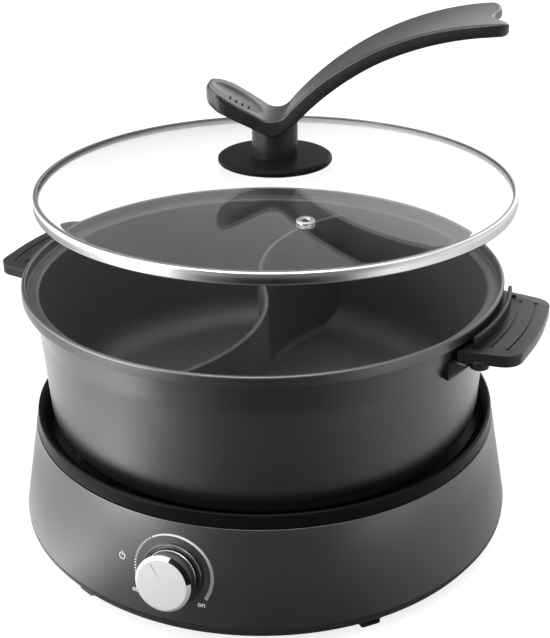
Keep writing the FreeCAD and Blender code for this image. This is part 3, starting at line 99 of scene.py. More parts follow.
class BaseSizes(bpy.types.PropertyGroup):
    """Sizes of the heating base."""
    skirt_low: length("Skirt lower edge", "Height of the skirt's lower edge", 15.5)
    skirt_top: length("Skirt upper edge", "Height of the seam under the rim", 79.6)
    skirt_low_radius: length("Skirt foot radius", "Outer radius at the lower edge", 171.4)
    skirt_top_radius: length("Skirt top radius", "Outer radius at the seam", 159.4)
    rim_top: length("Rim height", "Height of the black rim's top", 89)
    rim_radius: length("Rim radius", "Outer radius at the rim's top", 157.9)
    well_radius: length("Well radius", "Radius of the well that takes the pot", 150.2)
    foot_place: length("Foot place", "Radius that the feet are widened about", 151.5)
    foot_longer: FloatProperty(name="Foot length", default=1.3, min=1, subtype="FACTOR",
                               description="How much longer the feet are, away from the axis")
    foot_wider: FloatProperty(name="Foot width", default=1.25, min=1, subtype="FACTOR",
                              description="How much wider the feet are")
    knob_rise: length("Knob place", "Distance of the knob's axis above the skirt's edge", 30.5)
    inlet_rise: length("Inlet place", "Distance of the inlet above the skirt's edge", 28.5)
    inlet_width: length("Inlet width", "Width of the inlet's housing", 42)
    inlet_height: length("Inlet height", "Height of the inlet's housing", 28)
    inlet_corner: length("Inlet corner", "Radius of the housing's corners", 4)
    inlet_wall: length("Inlet wall", "Thickness of the housing's wall", 5)


class KnobSizes(bpy.types.PropertyGroup):
    """Sizes of the control knob; heights are above the skirt, along the knob's axis."""
    face_radius: length("Face radius", "Radius of the knob's face cap", 17.9)
    body_radius: length("Body radius", "Radius of the knob's side", 16.2)
    bezel_radius: length("Bezel radius", "Outer radius of the ring round the knob", 20)
    bezel_depth: length("Bezel depth", "How far the bezel reaches into the skirt", 5.4)
    bezel_height: length("Bezel height", "Height of the bezel's outer bead", 1.8)
    bore: length("Bore", "Radius of the room for the knob's shaft", 3.05)
    cap_low: length("Cap underside", "Height of the face cap's underside", 12)
    cap_top: length("Cap face", "Height of the knob's face", 15.6)
    chamfer: length("Chamfer", "Width of the chamfer round the face", 1.9)
    pointer_start: length("Pointer start", "Distance of the pointer's inner end", 4.8)
    pointer_end: length("Pointer end", "Distance of the pointer's outer end", 13.8)
    pointer_half: length("Pointer width", "Half the pointer's width at its outer end", 1)
    pointer_angle: angle("Pointer angle", "Pointer's turn from straight up", 30)
    # These two angles bound a dark reflection that is painted onto the cap's chamfer in black.
    mark_start: angle("Painted reflection start", "Start of the dark reflection painted on the chamfer, clockwise", 14)
    mark_end: angle("Painted reflection end", "End of the dark reflection painted on the chamfer, clockwise", 79)


class ScaleSizes(bpy.types.PropertyGroup):
    """Sizes of the print round the knob; angles are clockwise from straight up."""
    radius: length("Scale radius", "Radius of the heat scale's middle line", 25.5)
    wide_half: length("Wide end", "Half width of the band's hot end", 1.15)
    narrow_half: length("Narrow end", "Half width of the band's other end", 0.5)
    band_start: angle("Band start", "Place of the band's hot end", 121)
    band_end: angle("Band end", "Place of the band's narrow end", -33)
    dash_start: angle("First dash", "Place of the dash next to the band", -37)
    dash_end: angle("Last dash", "Place of the last dash", -104)
    dash_count: IntProperty(name="Dashes", description="Number of dashes", default=17, min=2)
    dash_length: length("Dash length", "Length of a dash, away from the knob", 1.3)
    dash_width: length("Dash width", "Width of a dash, round the knob", 0.72)
    letters: length("Letters", "Height of the words' capitals", 3.5)
    standby_turn: angle("Standby place", "Place of the standby mark", -86)
    standby_reach: length("Standby reach", "Distance of the standby mark from the axis", 35.5)
    standby_radius: length("Standby radius", "Outer radius of the standby mark", 2.4)
    standby_stroke: length("Standby stroke", "Width of the standby mark's ring", 0.65)


class PotSizes(bpy.types.PropertyGroup):
    """Sizes of the pot."""
    low: length("Pot underside", "Height of the pot's underside", 72)
    ledge: length("Ledge height", "Height of the ledge that the lid rests on", 175.8)
    low_radius: length("Foot radius", "Outer radius at the underside", 146.7)
    wall_radius: length("Wall radius", "Outer radius under the flare", 151.5)
    wall: length("Wall", "Thickness of the pot's wall", 2)
    lip_out: length("Lip", "How far the lip stands out from the wall", 9.1)
    lip_rise: length("Lip height", "Height of the lip above the ledge", 6.5)
    turn: angle("Handle turn", "Turn of the handles about the pot's axis", -5.0)
    divider_bulge: length("Divider bulge", "How far each arc of the divider swings out", 24)
    divider_top: length("Divider top", "Height of the divider's top edge", 168)
    divider_half: length("Divider half", "Half the divider's thickness", 1.5)


class GripSizes(bpy.types.PropertyGroup):
    """Sizes of the side grips; distances are from the pot's axis, along the right grip."""
    thickness: length("Thickness", "Thickness of a grip's plate", 7.5)
    root_reach: length("Root reach", "Distance of the plate's inner corners", 151.5)
    root_half: length("Root half width", "Half the plate's width at the pot", 49.4)
    root_radius: length("Root radius", "Radius of the plate's inner edge", 159.2)
    root_angle: angle("Root angle", "Half the angle of the plate's inner edge", 18.3)
    corner_reach: length("Corner reach", "Distance of the plate's outer corners", 186.2)
    corner_half: length("Corner half width", "Half the plate's width at its outer corners", 44.8)
    corner_radius: length("Corner radius", "Radius of the plate's outer corners", 13)
    reach: length("Reach", "Distance of the plate's outer edge", 190)
    rib_radius: length("Rib radius", "Radius of the rib's inner face", 163)
    rib_wall: length("Rib wall", "Thickness of the rib", 2.8)
    rib_half: length("Rib half", "Half the rib's length", 41)
    rib_height: length("Rib height", "Height of the rib above the plate", 7.4)
    boss_place: length("Boss place", "Distance of the boss from the grip's middle line", 43)
    boss_radius: length("Boss radius", "Radius of the boss under the plate", 6)
    boss_drop: length("Boss drop", "How far the boss hangs under the plate", 4)
    groove_near: length("Near groove", "Radius of the near groove", 170.8)
    groove_far: length("Far groove", "Radius of the far groove", 180.6)
    groove_width: length("Groove width", "Width of a groove", 1.2)
    groove_half: length("Groove half", "Half a groove's length", 36)
    dimple: length("Dimple radius", "Radius of the dimples at the grooves' ends", 1.9)
    bracket_radius: length("Bracket radius", "Radius of the bracket's foot", 151.6)
    bracket_wall: length("Bracket wall", "Thickness of the bracket's foot", 3.7)
    bracket_half: length("Bracket half", "Half the length of the bracket's foot", 50.3)
    bracket_height: length("Bracket height", "Height of the bracket's foot", 13.2)
    shelf_radius: length("Shelf radius", "Radius of the shelf's inner edge", 153)
    shelf_width: length("Shelf width", "Width of the shelf", 12)
    shelf: length("Shelf", "Thickness of the bracket's shelf", 2.6)
    shelf_half: length("Shelf half", "Half the shelf's length", 48.8)
    gusset_in: length("Gusset inner face", "Inner face of a gusset from the middle line", 46.9)
    gusset_out: length("Gusset outer face", "Outer face of a gusset from the middle line", 49)


class LidSizes(bpy.types.PropertyGroup):
    """Sizes of the lid."""
    low: length("Band lower edge", "Height of the band's lower edge", 235.6)
    top: length("Band upper edge", "Height of the band's upper edge", 242.9)
    radius: length("Lid radius", "Outer radius of the steel band", 156.4)
    glass_radius: length("Glass radius", "Radius of the glass", 155.2)
    apex: length("Apex height", "Height of the glass's middle", 255.2)
    dome_radius: length("Dome radius", "Radius of the glass's curve", 916.3)
    glass: length("Glass thickness", "Thickness of the glass", 4)
    turn: angle("Handle turn", "Turn of the lid's handle about the axis", 14)
    aside: length("Sideways place", "How far the raised lid hangs beside the pot's axis", 8.8)
    aside_turn: angle("Sideways turn", "Way that the raised lid is set aside, from +X", 19.7)
    seat_radius: length("Seat radius", "Radius of the disc under the handle", 36.9)
    post_radius: length("Post radius", "Radius of the handle's post", 14.7)
    vent_reach: length("Vent reach", "Distance of the steam vent from the axis", 98.5)
    vent_turn: angle("Vent turn", "Place of the steam vent, from the handle's way", -74.3)
    vent_bore: length("Vent bore", "Radius of the glass's hole at the vent", 3.9)
    screw_bore: length("Screw bore", "Radius of the glass's middle hole", 4.6)


class HandleSizes(bpy.types.PropertyGroup):
    """Sizes of the V-shaped handle; reaches run from the post's axis to each arm's end."""
    fold: length("Fold", "Height of the fold's underside, over the post", 275.9)
    short_reach: length("Short reach", "Reach of the short arm", 42)
    long_reach: length("Long reach", "Reach of the long arm", 140.5)
    post_half: length("Half width at the post", "Half the width over the post", 18.5)
    short_half: length("Short half width", "Half the width of the short arm's end", 22)
    long_half: length("Long half width", "Half the width of the long arm's end", 35.5)
    edge: length("Edge radius", "Radius of the long edges", 1.7)
    near_corner: length("Near corner", "Radius of the short arm's near corner", 20)
    far_corner: length("Far corner", "Radius of the short arm's far corner", 13)
    tail_notch: length("Tail notch", "Depth of the hollow in the long arm's end", 6.5)
    tail_corner: length("Tail corner", "Radius of the long arm's corners", 7)
    tick_gap: length("Tick spacing", "Distance between the thumb rest's ticks", 4.4)
    tick_width: length("Tick width", "Width of a tick", 1)
    tick_length: length("Tick length", "Length of a tick", 8.5)


class Colours(bpy.types.PropertyGroup):
    """Colours of the finishes."""
    skirt: colour("Skirt", "Satin gunmetal of the base", (0.17, 0.17, 0.172))
    pot: colour("Pot", "Satin dark grey of the pot", (0.165, 0.165, 0.167))
    coating: colour("Coating", "Non-stick coating inside the pot", (0.085, 0.085, 0.087))
    plastic: colour("Handles", "Black of the handles", (0.016, 0.016, 0.0165))
    rim: colour("Rim", "Black of the rim", (0.005, 0.005, 0.0052))
    steel: colour("Steel", "Bright steel", (0.8, 0.8, 0.81))
    print_ink: colour("Print", "Printed marks", (0.8, 0.8, 0.8))
    rubber: colour("Rubber", "Rubber of the pads and lips", (0.015, 0.015, 0.015))


class StageSizes(bpy.types.PropertyGroup):
    """The camera's place and lens."""
    azimuth: angle("Azimuth", "Camera's turn from the knob's side", 19.7)
    elevation: angle("Elevation", "Camera's height angle", 25.24)
    roll: angle("Roll", "Camera's roll", -0.53)
    distance: length("Distance", "Camera's distance from the aim point", 813)
    aim_side: length("Aim side", "Aim point's shift to the right", 7.8)
    aim_height: length("Aim height", "Height of the aim point", 142.2)
    focal_pixels: FloatProperty(name="Focal length", default=1180, min=1,
                                description="Focal length in pixels of a 638 pixel high frame")
    frame_pixels: IntProperty(name="Frame height", default=638, min=1, subtype="PIXEL",
                              description="The picture's height in pixels")


GROUPS = {"hot_pot_base": BaseSizes, "hot_pot_knob": KnobSizes, "hot_pot_scale": ScaleSizes,
          "hot_pot_pot": PotSizes, "hot_pot_grip": GripSizes, "hot_pot_lid": LidSizes,
          "hot_pot_handle": HandleSizes, "hot_pot_colours": Colours,
          "hot_pot_stage": StageSizes}


def sizes(name):
    return getattr(bpy.context.scene, "hot_pot_" + name)


# --- finishes ----------------------------------------------------------------------------

class Wire:
    """A socket that takes part in sums."""

    def __init__(self, finish, socket):
        self.finish = finish
        self.socket = socket

    def sum(self, operation, *terms):
        return self.finish.node("ShaderNodeMath", {"operation": operation}, *terms)

    def __add__(self, other):
        return self.sum("ADD", self, other)

    def __sub__(self, other):
        return self.sum("SUBTRACT", self, other)

    def __mul__(self, other):
        return self.sum("MULTIPLY", self, other)

    def __truediv__(self, other):
        return self.sum("DIVIDE", self, other)

    def __rsub__(self, other):
        return self.sum("SUBTRACT", other, self)

    __radd__ = __add__
    __rmul__ = __mul__

    def __lt__(self, other):
        return self.sum("LESS_THAN", self, other)

    def __gt__(self, other):
        return self.sum("GREATER_THAN", self, other)

    def root(self):
        return self.sum("SQRT", self)

    def clamped(self, low, high):
        return self.finish.node("ShaderNodeMapRange", {"clamp": True}, self, low, high, 0, 1)


class Finish:
    """A material, or the world, under construction."""

    def __init__(self, name, tree=None):
        self.made = bpy.data.materials.new(name) if tree is None else None
        if self.made:
            self.made.use_nodes = True
        self.tree = self.made.node_tree if self.made else tree
        self.tree.nodes.clear()

    def node(self, kind, settings, *values, output=0, **named):
        """Add a node: its settings first, then the values or links of its sockets."""
        made = self.tree.nodes.new(kind)
        for key, value in settings.items():
            if key == "stops":
                ramp = made.color_ramp.elements
                ramp.remove(ramp[1])
                ramp[0].position = value[0][0]
                for place, _ in value[1:]:
                    ramp.new(place)
                for element, (_, level) in zip(ramp, value):
                    element.color = (level, level, level, 1)
            else:
                setattr(made, key, value)
        for place, value in list(enumerate(values)) + list(named.items()):
            key = place if isinstance(place, int) else place.replace("_", " ")
            if isinstance(key, str) and key not in made.inputs:
                key = next(s.name for s in made.inputs if s.name.lower() == key.lower())
            if isinstance(value, Wire):
                self.tree.links.new(value.socket, made.inputs[key])
            elif value is not None:
                made.inputs[key].default_value = value
        return Wire(self, made.outputs[output])

    def place(self, centre=(0, 0, 0)):
        """Object coordinates, measured from a centre."""
        spot = self.node("ShaderNodeTexCoord", {}, output=3)
        return self.node("ShaderNodeMapping", {}, spot, [-value for value in centre])

    def parts(self, vector):
        made = self.node("ShaderNodeSeparateXYZ", {}, vector)
        return [Wire(self, socket) for socket in made.socket.node.outputs]

    def vector(self, x, y, z):
        return self.node("ShaderNodeCombineXYZ", {}, x, y, z)

    def noise(self, where, scale, detail=3.0, roughness=0.5):
        return self.node("ShaderNodeTexNoise", {}, where, None, scale, detail, roughness)

    def mix(self, factor, first, second):
        made = self.tree.nodes.new("ShaderNodeMix")
        made.data_type = "RGBA"
        for key, value in ((0, factor), (6, first), (7, second)):
            if isinstance(value, Wire):
                self.tree.links.new(value.socket, made.inputs[key])
            else:
                made.inputs[key].default_value = value
        return Wire(self, made.outputs[2])

    def bump(self, height, distance, strength=1.0):
        return self.node("ShaderNodeBump", {}, Strength=strength, Distance=distance, Height=height)

    def close(self, shader):
        """Give the finish its surface."""
        out = self.tree.nodes.new("ShaderNodeOutputMaterial")
        self.tree.links.new(shader.socket, out.inputs["Surface"])
        return self.made

    def principled(self, **named):
        return self.node("ShaderNodeBsdfPrincipled", {}, **named)


def shade(value, factor):
    """A colour made lighter or darker."""
    return (value[0] * factor, value[1] * factor, value[2] * factor, 1)


def flaked_metal(name, tint, metallic, roughness, flake=0.12, coat=0.0):
    """Satin metallic lacquer with fine flakes and a slight orange peel."""
    finish = Finish(name)
    spot = finish.place()
    flakes = finish.noise(spot, 2600.0, 2.0, 0.6)
    cloud = finish.noise(spot, 14.0, 3.0, 0.5)
    level = flakes * 0.7 + cloud * 0.3
    base = finish.mix(level.clamped(0.3, 0.7), shade(tint, 1 - flake), shade(tint, 1 + flake))
    rough = roughness + (flakes - 0.5) * 0.1 + (cloud - 0.5) * 0.05
    peel = finish.noise(spot, 420.0, 2.0, 0.5) + flakes * 0.5
    return finish.close(finish.principled(
        Base_Color=base, Metallic=metallic, Roughness=rough, Coat_Weight=coat,
        Coat_Roughness=0.25, Normal=finish.bump(peel, 0.00001, 0.6)))


def moulded_plastic(name, tint, roughness, grain=900.0, depth=0.00003, speck=0.25, gloss=0.5):
    """Moulded plastic with a spark-eroded grain."""
    finish = Finish(name)
    spot = finish.place()
    fine = finish.noise(spot, grain, 3.0, 0.6)
    wide = finish.noise(spot, 22.0, 2.0, 0.5)
    base = finish.mix(fine * 0.6 + wide * 0.4, shade(tint, 1 - speck), shade(tint, 1 + speck))
    rough = roughness + (fine - 0.5) * 0.14 + (wide - 0.5) * 0.08
    return finish.close(finish.principled(
        Base_Color=base, Roughness=rough, Specular_IOR_Level=gloss,
        Normal=finish.bump(fine, depth, 0.7)))


def ringed_metal(name, tint, roughness, rings=5200.0, centre=(0, 0, 0), depth=0.000004,
                 metallic=1.0, axis=None):
    """Metal turned on a lathe: fine rings about an axis."""
    finish = Finish(name)
    spot = finish.place(centre=centre)
    if axis:
        spot = finish.node("ShaderNodeVectorRotate", {"rotation_type": "X_AXIS"}, spot,
                           Angle=axis)
    x, y, z = finish.parts(spot)
    radius = (x * x + y * y).root()
    grain = finish.noise(finish.vector(radius, z * 0.6, 0.0), rings, 3.0, 0.7)
    streak = finish.noise(finish.vector(radius * 30.0, z * 30.0, 0.0), 24.0, 2.0, 0.5)
    base = finish.mix(grain * 0.7 + streak * 0.3, shade(tint, 0.88), shade(tint, 1.1))
    rough = roughness + (grain - 0.5) * 0.18 + (streak - 0.5) * 0.08
    return finish.close(finish.principled(
        Base_Color=base, Metallic=metallic, Roughness=rough,
        Normal=finish.bump(grain, depth, 0.6)))


def coated_inside(name, tint):
    """Non-stick coating: matt, with tiny pale specks."""
    finish = Finish(name)
    spot = finish.place()
    specks = finish.node("ShaderNodeTexVoronoi", {"feature": "F1"}, spot, Scale=1300.0)
    spark = (specks < 0.16) * 0.5
    cloud = finish.noise(spot, 18.0, 3.0, 0.5)
    fine = finish.noise(spot, 1500.0, 2.0, 0.5)
    base = finish.mix(spark + cloud * 0.4, shade(tint, 0.9), shade(tint, 1.35))
    return finish.close(finish.principled(
        Base_Color=base, Metallic=0.25, Roughness=0.42 + (fine - 0.5) * 0.12,
        Normal=finish.bump(fine, 0.00001, 0.5)))


def clear_glass(name):
    """Clear tempered glass that lets light through to what is under it."""
    finish = Finish(name)
    spot = finish.place()
    film = finish.noise(spot, 9.0, 3.0, 0.6)
    pane = finish.principled(
        Base_Color=(0.99, 1.0, 0.995, 1), Roughness=film.clamped(0.45, 0.8) * 0.02,
        Transmission_Weight=1.0, IOR=1.42)
    clear = finish.node("ShaderNodeBsdfTransparent", {}, (0.95, 0.96, 0.955, 1))
    shadow = finish.node("ShaderNodeLightPath", {}, output=1)
    return finish.close(finish.node("ShaderNodeMixShader", {}, shadow, pane, clear))


def soft_rubber(name, tint):
    """Matt rubber with a dusty bloom."""
    finish = Finish(name)
    spot = finish.place()
    bloom = finish.noise(spot, 60.0, 4.0, 0.6)
    fine = finish.noise(spot, 1800.0, 2.0, 0.5)
    base = finish.mix(bloom, shade(tint, 0.8), shade(tint, 1.5))
    return finish.close(finish.principled(
        Base_Color=base, Roughness=0.7 + (fine - 0.5) * 0.15,
        Normal=finish.bump(fine, 0.00002, 0.5)))


def printed_ink(name, tint, fade=1.0):
    """Screen-printed ink with a slightly uneven film; a fade greys it on the right."""
    finish = Finish(name)
    spot = finish.place()
    film = finish.noise(spot, 800.0, 2.0, 0.5)
    base = finish.mix(film, shade(tint, 0.94), shade(tint, 1.04))
    if fade < 1:
        across, _, _ = finish.parts(spot)
        base = finish.mix(across.clamped(0.008, 0.024), base, shade(tint, fade))
    return finish.close(finish.principled(
        Base_Color=base, Roughness=0.5 + (film - 0.5) * 0.1,
        Normal=finish.bump(film, 0.000005, 0.4)))


def heat_tinted(name, tint):
    """A tube element's sheath, browned by heat in bands."""
    finish = Finish(name)
    spot = finish.place()
    bands = finish.noise(spot, 30.0, 4.0, 0.6)
    fine = finish.noise(spot, 900.0, 2.0, 0.5)
    base = finish.mix(bands.clamped(0.35, 0.65), shade(tint, 0.8), (0.2, 0.13, 0.08, 1))
    return finish.close(finish.principled(
        Base_Color=base, Metallic=1.0, Roughness=0.42 + (fine - 0.5) * 0.2,
        Normal=finish.bump(fine, 0.00001, 0.5)))


FINISHES = {}


def make_finishes():
    tint = sizes("colours")
    knob = knob_centre()
    lean = math.pi / 2 - skirt_slope()
    FINISHES.update({
        "skirt": flaked_metal("satin_gunmetal", tint.skirt, 0.94, 0.3, 0.06),
        "pot": flaked_metal("satin_dark_grey", tint.pot, 0.94, 0.31, 0.05),
        "coating": coated_inside("non_stick_coating", tint.coating),
        "well": flaked_metal("black_heatproof_coating", (0.03, 0.03, 0.031), 0.3, 0.5),
        "rim": moulded_plastic("black_rim_plastic", tint.rim, 0.26, 1200.0, 0.00001,
                               gloss=0.1),
        "plastic": moulded_plastic("matt_black_plastic", tint.plastic, 0.33, 900.0, 0.00002,
                                   gloss=0.3),
        "glossy": moulded_plastic("satin_black_plastic", tint.plastic, 0.24, 900.0, 0.00002,
                                  gloss=0.6),
        "dull": moulded_plastic("dull_black_plastic", shade(tint.plastic, 0.5), 0.4, 900.0,
                                0.00002, gloss=0.06),
        "cover": moulded_plastic("black_cover_plastic", (0.018, 0.018, 0.018), 0.5, 600.0),
        "band": ringed_metal("brushed_band_steel", tint.steel, 0.16, 2600.0),
        "knob_face": ringed_metal("spun_knob_face", (0.78, 0.78, 0.785), 0.45, 4200.0, knob,
                                  0.000002, 0.35, lean),
        "bezel": ringed_metal("ringed_bezel", (0.16, 0.16, 0.162), 0.3, 1500.0, knob, 0.00002,
                              axis=lean),
        "knob_side": ringed_metal("brushed_knob_side", (0.42, 0.42, 0.43), 0.3, 2600.0, knob,
                                  axis=lean),
        "sheet": ringed_metal("plain_sheet_steel", (0.55, 0.55, 0.56), 0.38, 700.0),
        "plate": ringed_metal("turned_aluminium", (0.68, 0.68, 0.69), 0.34, 1800.0,
                              depth=0.00001),
        "brass": ringed_metal("plated_brass", (0.72, 0.55, 0.27), 0.3, 2400.0),
        "screw": ringed_metal("zinc_plated_steel", (0.52, 0.52, 0.53), 0.36, 3000.0),
        "element": heat_tinted("heat_tinted_sheath", (0.3, 0.29, 0.28)),
        "rubber": soft_rubber("matt_rubber", tint.rubber),
        "silicone": soft_rubber("heatproof_silicone", (0.03, 0.03, 0.03)),
        "lip": soft_rubber("grey_silicone_lip", (0.16, 0.16, 0.16)),
        "ceramic": moulded_plastic("thermostat_phenolic", (0.5, 0.45, 0.36), 0.6, 500.0),
        "glass": clear_glass("clear_tempered_glass"),
        "ink": printed_ink("white_print", tint.print_ink),
        "band_ink": printed_ink("fading_print", tint.print_ink, 0.4),
    })


def skirt_slope():
    base = sizes("base")
    return math.atan2(base.skirt_low_radius - base.skirt_top_radius,
                      base.skirt_top - base.skirt_low)


def skirt_radius(rise):
    base = sizes("base")
    return base.skirt_low_radius - rise * math.tan(skirt_slope())


def knob_centre():
    base = sizes("base")
    return (0, -skirt_radius(base.knob_rise), base.skirt_low + base.knob_rise)


# --- modelling helpers -------------------------------------------------------------------

def clear_selection():
    if bpy.context.mode != "OBJECT":
        bpy.ops.object.mode_set(mode="OBJECT")
    bpy.ops.object.select_all(action="DESELECT")


def pick(*pieces):
    """Select these pieces alone, with the first one active."""
    clear_selection()
    for piece in pieces:
        piece.select_set(True)
    bpy.context.view_layer.objects.active = pieces[0]


def select_mesh():
    bpy.ops.mesh.select_all(action="SELECT")


def change(piece, kind, **settings):
    """Add a modifier with its settings and apply it."""
    pick(piece)
    made = piece.modifiers.new("change", kind)
    for key, value in settings.items():
        setattr(made, key, value)
    bpy.ops.object.modifier_apply(modifier="change")
    return piece


def begin(name, start):
    """Open a new mesh in edit mode with one vertex at start."""
    clear_selection()
    bpy.ops.mesh.primitive_plane_add(size=MM, location=(0, 0, 0))
    piece = bpy.context.object
    piece.name = name
    piece.data.name = name
    bpy.ops.object.mode_set(mode="EDIT")
    bpy.ops.mesh.merge(type="CENTER")
    bpy.ops.transform.translate(value=start)
    return piece


def trace(points):
    """Draw on from the selected vertex through the points."""
    for here, there in zip(points, points[1:]):
        bpy.ops.mesh.extrude_region_move(TRANSFORM_OT_translate={"value": there - here})


def finish_mesh():
    """Merge doubles, turn the faces outwards and leave edit mode."""
    select_mesh()
    bpy.ops.mesh.remove_doubles(threshold=MERGE)
    bpy.ops.mesh.normals_make_consistent(inside=False)
    bpy.ops.object.mode_set(mode="OBJECT")


def smooth(piece, degrees=32):
    pick(piece)
    bpy.ops.object.shade_smooth_by_angle(angle=math.radians(degrees))
    return piece


def swing(middle, start, end, steps):
    """Points round a middle, from start to end."""
    spoke = start - middle
    sweep = spoke.angle_signed(end - middle)
    points = []
    for step in range(steps + 1):
        turned = spoke.copy()
        turned.rotate(Matrix.Rotation(-sweep * step / steps, 2))
        points.append(middle + turned)
    return points


def soften(corners, steps=5):
    """Round the corners of a profile. A corner is (x, z) or (x, z, radius), in metres."""
    points = []
    count = len(corners)
    for place, corner in enumerate(corners):
        here = Vector(corner[:2])
        if len(corner) == 2 or not corner[2]:
            points.append(here)
            continue
        before = (Vector(corners[place - 1][:2]) - here).normalized()
        after = (Vector(corners[(place + 1) % count][:2]) - here).normalized()
        bend = before.angle(after) / 2
        reach = corner[2] / math.tan(bend)
        middle = here + (before + after).normalized() * (corner[2] / math.sin(bend))
        points += swing(middle, here + before * reach, here + after * reach, steps)
    return points


def spun(name, corners, steps=192, closed=True, corner_steps=5):
    """Turn a profile of (radius, height) corners in millimetres about Z."""
    scaled = [tuple(value * MM for value in corner) for corner in corners]
    outline = [Vector((x, 0, z)) for x, z in soften(scaled, corner_steps)]
    if closed:
        outline.append(outline[0])
    piece = begin(name, outline[0])
    trace(outline)
    select_mesh()
    bpy.ops.mesh.spin(steps=steps, angle=TURN, center=(0, 0, 0), axis=(0, 0, 1))
    finish_mesh()
    return smooth(piece)


def slab(name, outline, low, high, plane="XY"):
    """Fill an outline of points in metres and extrude it from low to high."""
    def lift(point, level):
        if plane == "XY":
            return Vector((point[0], point[1], level))
        return Vector((point[0], level, point[1]))
    points = [lift(point, low) for point in outline]
    piece = begin(name, points[0])
    trace(points)
    select_mesh()
    bpy.ops.mesh.edge_face_add()
    select_mesh()
    rise = lift((0, 0), high) - lift((0, 0), low)
    bpy.ops.mesh.extrude_region_move(TRANSFORM_OT_translate={"value": rise})
    finish_mesh()
    return piece


def arc(centre, radius, start, end, steps):
    """Points of an arc, angles in degrees."""
    turns = [math.radians(start + (end - start) * step / steps) for step in range(steps + 1)]
    return [Vector((centre[0] + radius * math.cos(turn), centre[1] + radius * math.sin(turn)))
            for turn in turns]


def rectangle(wide, tall, corner=0, x=0, y=0):
    """A rectangle's points from its sides, its corners' radius and its middle."""
    return soften([(x + i * wide / 2, y + j * tall / 2, corner)
                   for i, j in ((-1, -1), (1, -1), (1, 1), (-1, 1))], 6)


def combine(piece, other, operation):
    """Cut, join or intersect a piece with another, which is used up."""
    change(piece, "BOOLEAN", operation=operation, solver="EXACT", object=other)
    bpy.data.objects.remove(other)
    return piece


def ease(piece, width, segments=3, degrees=35):
    """Round a piece's edges."""
    return change(piece, "BEVEL", width=width, segments=segments, limit_method="ANGLE",
                  angle_limit=math.radians(degrees), miter_outer="MITER_ARC",
                  use_clamp_overlap=True)


def settle(piece, matrix):
    """Carry a piece into place and bake the move into its mesh."""
    pick(piece)
    piece.matrix_world = matrix
    bpy.ops.object.transform_apply(location=True, rotation=True, scale=True)
    return piece


def again(piece, name, matrix):
    """A copy of a piece with its own mesh, carried into place."""
    pick(piece)
    bpy.ops.object.duplicate(linked=False)
    copy = bpy.context.object
    copy.name = copy.data.name = name
    return settle(copy, matrix)


def from_node(node, name, width, degrees=35):
    """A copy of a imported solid, with its flat faces joined and its edges rounded."""
    source = frame["nodes"][node]
    copy = source.copy()
    copy.data = source.data.copy()
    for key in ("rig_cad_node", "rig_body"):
        if key in copy:
            del copy[key]
    copy.parent = None
    copy.name = copy.data.name = name
    bpy.context.scene.collection.objects.link(copy)
    pick(copy)
    bpy.ops.object.mode_set(mode="EDIT")
    select_mesh()
    bpy.ops.mesh.remove_doubles(threshold=2 * MERGE)
    bpy.ops.mesh.dissolve_limited(angle_limit=math.radians(0.5))
    bpy.ops.object.mode_set(mode="OBJECT")
    if copy.data.has_custom_normals:
        bpy.ops.mesh.customdata_custom_splitnormals_clear()
    return ease(copy, width, 3, degrees)


def dress(piece, finish, body, slot, *nodes):
    """Give a piece its finish and its body, and hide the solids that it stands for; the slot is
    not used.
    """
    if piece.data.materials:
        piece.data.materials.clear()
    for name in (finish if isinstance(finish, tuple) else (finish,)):
        piece.data.materials.append(FINISHES[name])
    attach(piece, body)
    if nodes:
        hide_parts(*nodes)
    return piece


def paint(piece, choose):
    """Set each face's finish by its middle and normal."""
    for face in piece.data.polygons:
        face.material_index = choose(face.center, face.normal)


def dress_node(node, finish):
    """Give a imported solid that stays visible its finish."""
    solid = frame["nodes"][node]
    if not solid.material_slots:
        solid.data.materials.append(FINISHES[finish])
    for slot in solid.material_slots:
        slot.material = FINISHES[finish]


def front_frame():
    """Out of the skirt's front, at the knob: local Z is the knob's axis, local Y is up."""
    return (Matrix.Translation(knob_centre())
            @ Matrix.Rotation(math.pi / 2 - skirt_slope(), 4, "X"))


def back_frame():
    """Out of the skirt's back, at the power inlet."""
    base = sizes("base")
    place = (0, skirt_radius(base.inlet_rise), base.skirt_low + base.inlet_rise)
    return Matrix.Translation(place) @ Matrix.Rotation(skirt_slope() - math.pi / 2, 4, "X")


def pot_frame():
    return Matrix.Rotation(sizes("pot").turn, 4, "Z")


def lid_frame():
    lid = sizes("lid")
    aside = Vector((lid.aside * math.cos(lid.aside_turn), lid.aside * math.sin(lid.aside_turn), 0))
    return Matrix.Translation(aside) @ Matrix.Rotation(lid.turn, 4, "Z")


# --- operators: base ---------------------------------------------------------------------

class PieceOperator:
    """What every piece's operator shares."""
    bl_options = {"REGISTER", "UNDO"}

    def execute(self, context):
        self.build(context)
        return {"FINISHED"}


